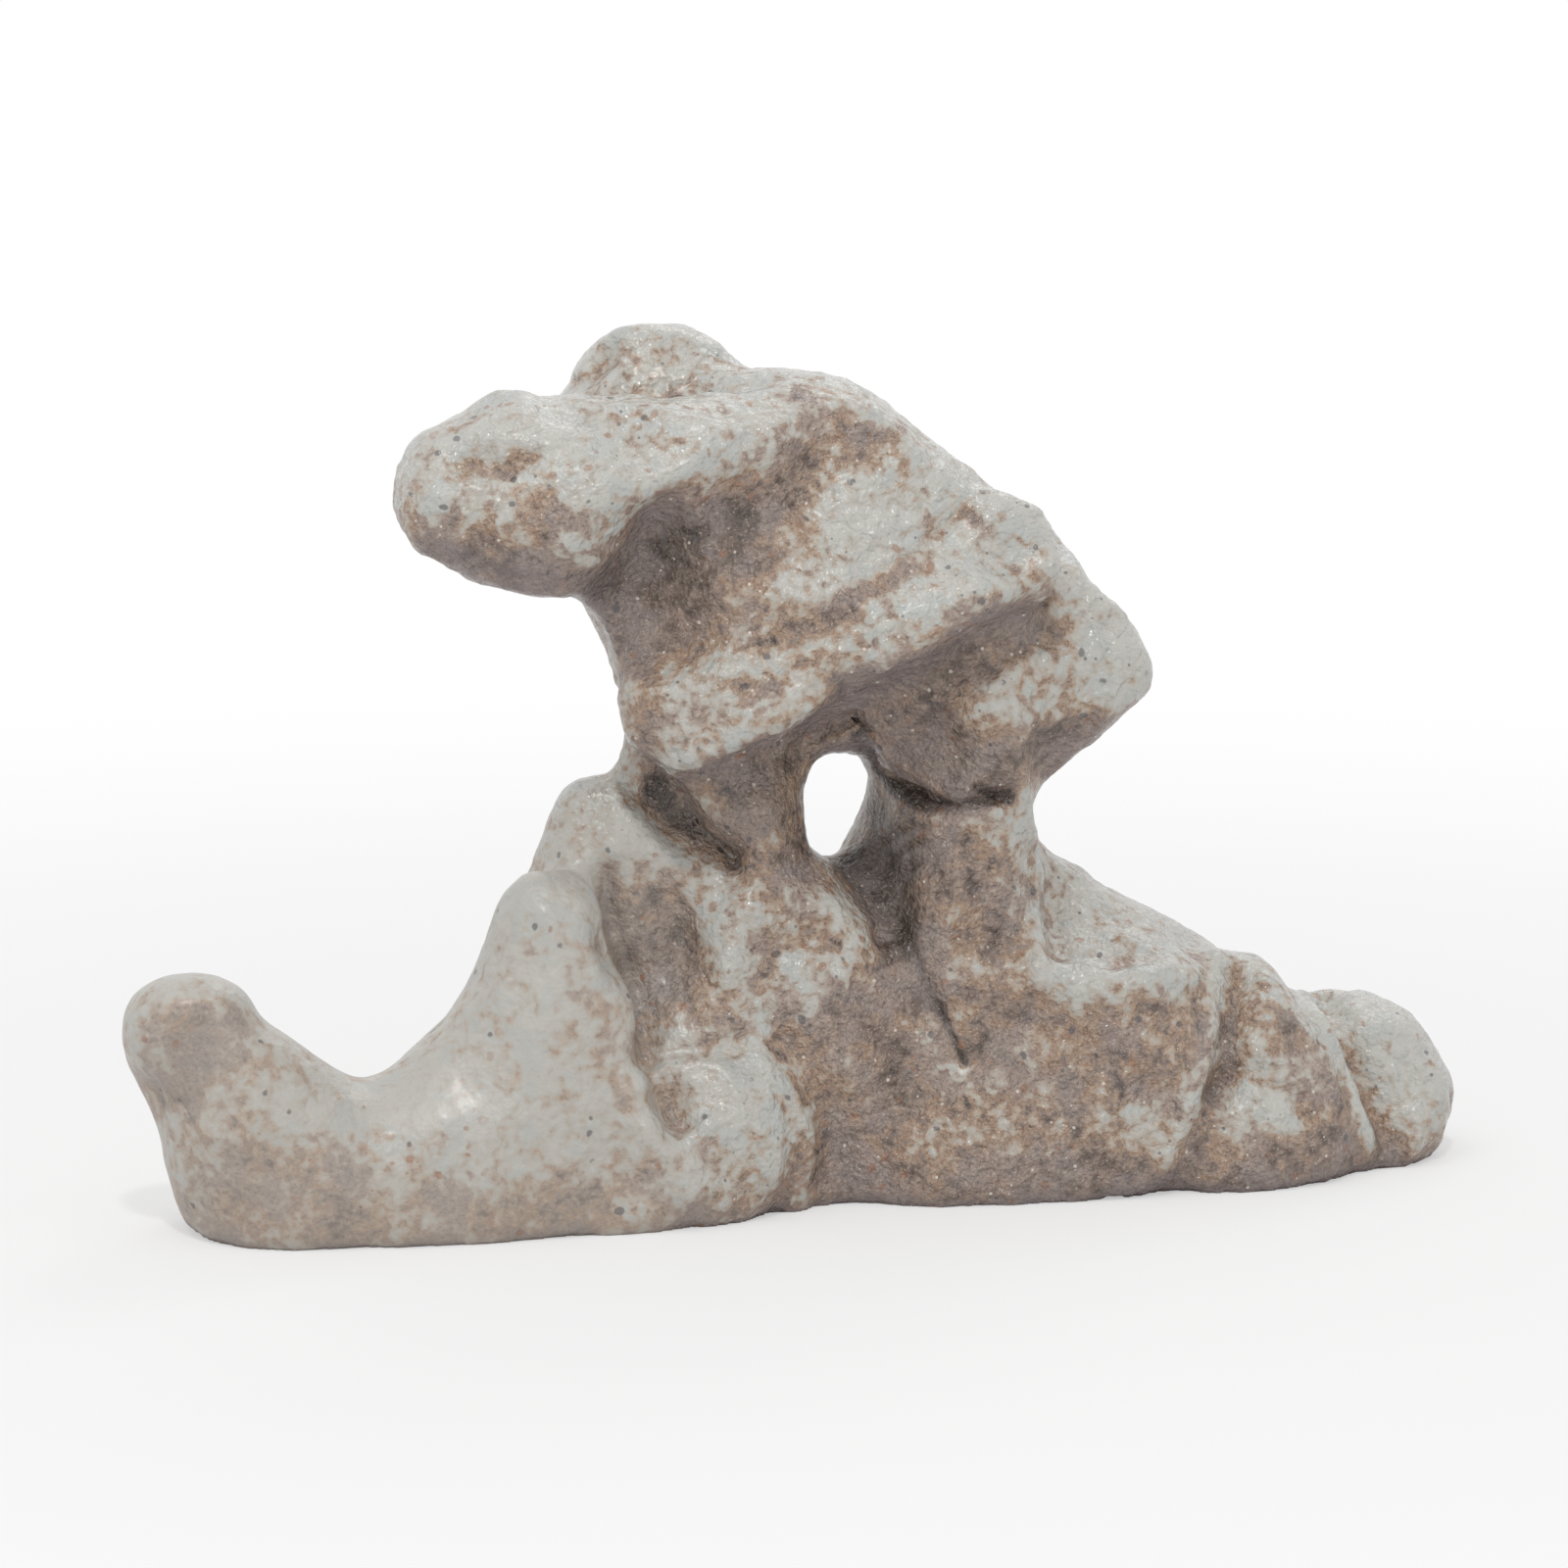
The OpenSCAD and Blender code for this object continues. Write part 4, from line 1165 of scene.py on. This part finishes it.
    def relief(self, n: Nodes, place: object, thick: object, sand: object) -> Socket:
        """Gives the fine relief: the orange peel of the glaze, and the grit where it is thin."""
        peel = n.noise(place, self.peel_size_mm, 2.0, 0.5)
        grit = n.noise(place, self.grit_size_mm, 2.0, 0.6)
        strength = n.times(n.span(thick, *self.grit_by_thickness), n.span(sand, 0.0, 1.0, *self.grit_by_sand))
        smooth_peel = n.times(peel, n.span(sand, 0.0, 1.0, *self.peel_by_sand))
        height = n.sum(smooth_peel, n.times(grit, strength), self.grit_share)
        bump = n.add("Bump", {"Height": height, "Strength": 1.0, "Distance": self.relief_mm * MM})
        return bump.outputs[0]


@dataclass
class Lumps:
    """The worked body cut back into the lumps that it was luted from."""

    body: LutedBody
    glaze: GlazeMap
    inset_mm: float = 0.9
    rim_rounds: int = 8
    border_rounds: int = 12
    own_vote: float = 0.5
    scrap_faces: int = 160
    scrap_rounds: int = 4

    def owners(self) -> np.ndarray:
        """Gives each face of the clay to the lump of the frame that is nearest."""
        points, _, faces, owner = gathered()
        tree = BVHTree.FromPolygons(points.tolist(), faces)
        clay = self.body.clay
        middles = clay.points[clay.faces].mean(axis=1)
        nearest = [tree.find_nearest(Vector(m))[2] for m in middles]
        return self.tidied(owner[nearest])

    def tidied(self, owner: np.ndarray) -> np.ndarray:
        """Evens out the borders, and gives stray scraps to the lump round them.

        Args:
            owner: Each face's lump.

        Returns:
            Each face's lump, tidied.
        """
        pairs = self.neighbours()
        count = owner.max() + 1
        for _ in range(self.border_rounds):
            votes = np.zeros((len(owner), count))
            np.add.at(votes, (pairs[:, 0], owner[pairs[:, 1]]), 1.0)
            np.add.at(votes, (pairs[:, 1], owner[pairs[:, 0]]), 1.0)
            votes[np.arange(len(owner)), owner] += self.own_vote
            owner = votes.argmax(axis=1)
        for _ in range(self.scrap_rounds):
            part = joined(len(owner), pairs[owner[pairs[:, 0]] == owner[pairs[:, 1]]])
            sizes = np.bincount(part)
            scrap = sizes[part] < self.scrap_faces
            if not scrap.any():
                break
            votes = np.zeros((len(owner), count))
            for a, b in ((0, 1), (1, 0)):
                edge = owner[pairs[:, a]] != owner[pairs[:, b]]
                np.add.at(votes, (part[pairs[edge, a]], owner[pairs[edge, b]]), 1.0)
            owner = np.where(scrap, votes[part].argmax(axis=1), owner)
        return owner

    def neighbours(self) -> np.ndarray:
        """Gives each pair of faces that share an edge."""
        faces = self.body.clay.faces
        face = np.tile(np.arange(len(faces)), 4)
        first, second = twins(np.sort(sides(faces), axis=1))
        return np.stack([face[first], face[second]], axis=1)

    def cut(self) -> None:
        """Cuts every lump out of the clay, closes it, dresses it and sets it in the frame's place."""
        owner = self.owners()
        slots = {row["node"]: row["material_slot"] for row in frame["record"]["subparts"]}
        glazes = {slot: MottledGlaze().dress(slot) for slot in sorted(set(slots.values()))}
        for index, name in enumerate(sorted(frame["nodes"])):
            piece = self.piece(name + "_clay", self.body.clay.faces[owner == index])
            piece.data.materials.append(glazes[slots[name]])
            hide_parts(name)
            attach(piece, BODY)
            LOG.info("%s: %d faces", piece.name, len(piece.data.polygons))

    def piece(self, name: str, faces: np.ndarray) -> bpy.types.Object:
        """Makes one closed lump from its share of the skin.

        Args:
            name: The piece's name.
            faces: Its faces of the clay.

        Returns:
            The object.
        """
        source, local = self.split(faces)
        clay = self.body.clay
        points = [clay.points[source]]
        normals = self.body.normals[source]
        outlines = local.tolist()
        extra: list[int] = []
        total = len(source)
        for loop in self.rims(local):
            ring = clay.points[source[loop]] - self.inset_mm * MM * normals[loop]
            for _ in range(self.rim_rounds):
                ring = 0.5 * ring + 0.25 * (np.roll(ring, 1, axis=0) + np.roll(ring, -1, axis=0))
            count = len(loop)
            points += [ring, ring.mean(axis=0)[None]]
            extra += list(source[loop]) + [source[loop[0]]]
            for i in range(count):
                j = (i + 1) % count
                outlines.append([loop[j], loop[i], total + i, total + j])
                outlines.append([total + j, total + i, total + count])
            total += count + 1
        mesh = bpy.data.meshes.new(name)
        mesh.from_pydata(np.concatenate(points).tolist(), [], outlines)
        mesh.polygons.foreach_set("use_smooth", np.ones(len(mesh.polygons), dtype=bool))
        holders = np.concatenate([source, np.array(extra, dtype=np.int64)])
        for layer, values in self.glaze.layers().items():
            store = mesh.attributes.new(layer, "FLOAT", "POINT")
            store.data.foreach_set("value", values[holders].astype(np.float32))
        self.keep_normals(mesh, normals, len(local))
        return shown(name, mesh)

    @staticmethod
    def keep_normals(mesh: bpy.types.Mesh, normals: np.ndarray, skin_faces: int) -> None:
        """Keeps the whole body's shading on a lump, so that no seam shows in it.

        Args:
            mesh: The lump.
            normals: The body's outward direction at each point of the skin.
            skin_faces: How many of the faces are skin.
        """
        corner = np.empty(len(mesh.loops), dtype=np.int64)
        mesh.loops.foreach_get("vertex_index", corner)
        values = np.zeros((len(corner), 3))
        skin = 4 * skin_faces
        values[:skin] = normals[corner[:skin]]
        mesh.normals_split_custom_set(values.tolist())

    @staticmethod
    def split(faces: np.ndarray) -> tuple[np.ndarray, np.ndarray]:
        """Numbers a lump's own points, with one of its own wherever it only touches itself.

        Args:
            faces: The lump's faces, as points of the clay.

        Returns:
            The clay's point for each of the lump's points, and the faces in the lump's numbers.
        """
        flat = faces.ravel()
        here = np.arange(len(flat))
        ahead = here - here % 4 + (here + 1) % 4
        first, second = twins(np.sort(np.stack([flat, flat[ahead]], axis=1), axis=1))
        against = flat[first] == flat[ahead[second]]
        starts = np.where(against, ahead[second], second)
        ends = np.where(against, second, ahead[second])
        links = np.concatenate([np.stack([first, starts], axis=1), np.stack([ahead[first], ends], axis=1)])
        kept, local = np.unique(joined(len(flat), links), return_inverse=True)
        return flat[kept], local.reshape(-1, 4)

    @staticmethod
    def rims(faces: np.ndarray) -> list[np.ndarray]:
        """Finds the open edges of a lump's skin.

        Args:
            faces: The lump's faces.

        Returns:
            The points of each open edge, in the order in which the faces run along it.
        """
        pairs = sides(faces)
        width = faces.max() + 1
        ahead = pairs[:, 0] * width + pairs[:, 1]
        back = pairs[:, 1] * width + pairs[:, 0]
        open_sides = pairs[~np.isin(ahead, back)]
        following = {int(a): int(b) for a, b in open_sides}
        rims = []
        while following:
            start, point = following.popitem()
            rim = [start]
            while point != start:
                rim.append(point)
                point = following.pop(point)
            rims.append(np.array(rim))
        return rims


@dataclass(frozen=True)
class Lamp:
    """A soft lamp with a square face, which points at the rock."""

    name: str
    place: Triple
    width: float
    watts: float
    aim: Triple = (0.0, 0.0, 0.035)

    def hang(self) -> None:
        """Makes the lamp and gives it to the scene."""
        data = bpy.data.lights.new(self.name, "AREA")
        data.size = self.width
        data.energy = self.watts
        made = shown(self.name, data)
        made.location = self.place
        made.rotation_euler = (Vector(self.aim) - Vector(self.place)).to_track_quat("-Z", "Y").to_euler()


@dataclass
class Studio:
    """A white sweep under soft light."""

    floor_m: float = 3.0
    paper_from_m: float = 0.06
    paper_to_m: float = 0.28
    near_white: float = 0.45
    paper: Colour = (0.9, 0.9, 0.9, 1.0)
    dome: float = 0.64
    lamps: tuple[Lamp, ...] = (
        Lamp("key", (-0.3, -0.15, 0.72), 0.4, 0.65),
        Lamp("spark", (-0.1, -0.4, 0.6), 0.05, 1.1),
        Lamp("back", (0.3, 0.45, 0.5), 0.3, 0.4),
    )

    def build(self) -> None:
        """Makes the sweep, the lamps and the world."""
        self.floor()
        for lamp in self.lamps:
            lamp.hang()
        self.world()
        bpy.context.scene.view_settings.view_transform = "Standard"
        LOG.info("studio: built")

    def floor(self) -> None:
        """Lays the floor under the foot: paper near the rock, and plain white further out."""
        half = self.floor_m / 2
        mesh = bpy.data.meshes.new("floor")
        ends = [(-half, -half, 0.0), (half, -half, 0.0), (half, half, 0.0), (-half, half, 0.0)]
        mesh.from_pydata(ends, [], [(0, 1, 2, 3)])
        sheet = shown("floor", mesh)
        material = bpy.data.materials.new("white_sweep")
        n = Nodes(material)
        paper = n.add("BsdfDiffuse", {"Color": self.paper})
        white = n.add("Emission", {"Color": WHITE, "Strength": 1.0})
        far = n.add("VectorMath", {0: n.add("TexCoord").outputs["Object"]}, operation="LENGTH")
        share = n.span(far.outputs["Value"], self.paper_from_m, self.paper_to_m, self.near_white, 1.0)
        seen = n.times(share, n.add("LightPath").outputs["Is Camera Ray"])
        blend = n.add("MixShader", {0: seen, 1: paper.outputs[0], 2: white.outputs[0]})
        n.add("OutputMaterial", {"Surface": blend.outputs[0]})
        mesh.materials.append(material)

    def world(self) -> None:
        """Lights the rock evenly from all round, in front of white."""
        world = bpy.data.worlds.new("surround")
        bpy.context.scene.world = world
        n = Nodes(world)
        path = n.add("LightPath")
        seen = path.outputs["Is Camera Ray"]
        for kind in ("Is Glossy Ray", "Is Transmission Ray"):
            seen = n.add("Math", {0: seen, 1: path.outputs[kind]}, operation="MAXIMUM").outputs[0]
        strength = n.add("MapRange", {"Value": seen, "To Min": self.dome, "To Max": 1.0})
        sky = n.add("Background", {"Color": WHITE, "Strength": strength.outputs["Result"]})
        n.add("OutputWorld", {"Surface": sky.outputs[0]})


def main() -> None:
    """Builds the rock, its glaze and the studio."""
    logging.basicConfig(level=logging.INFO, format="%(name)s: %(message)s")
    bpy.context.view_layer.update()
    view = Viewpoint()
    view.camera()
    body = LutedBody(view)
    body.build()
    glaze = GlazeMap(body)
    glaze.spread()
    Lumps(body, glaze).cut()
    Studio().build()


if __name__ == "__main__":
    main()
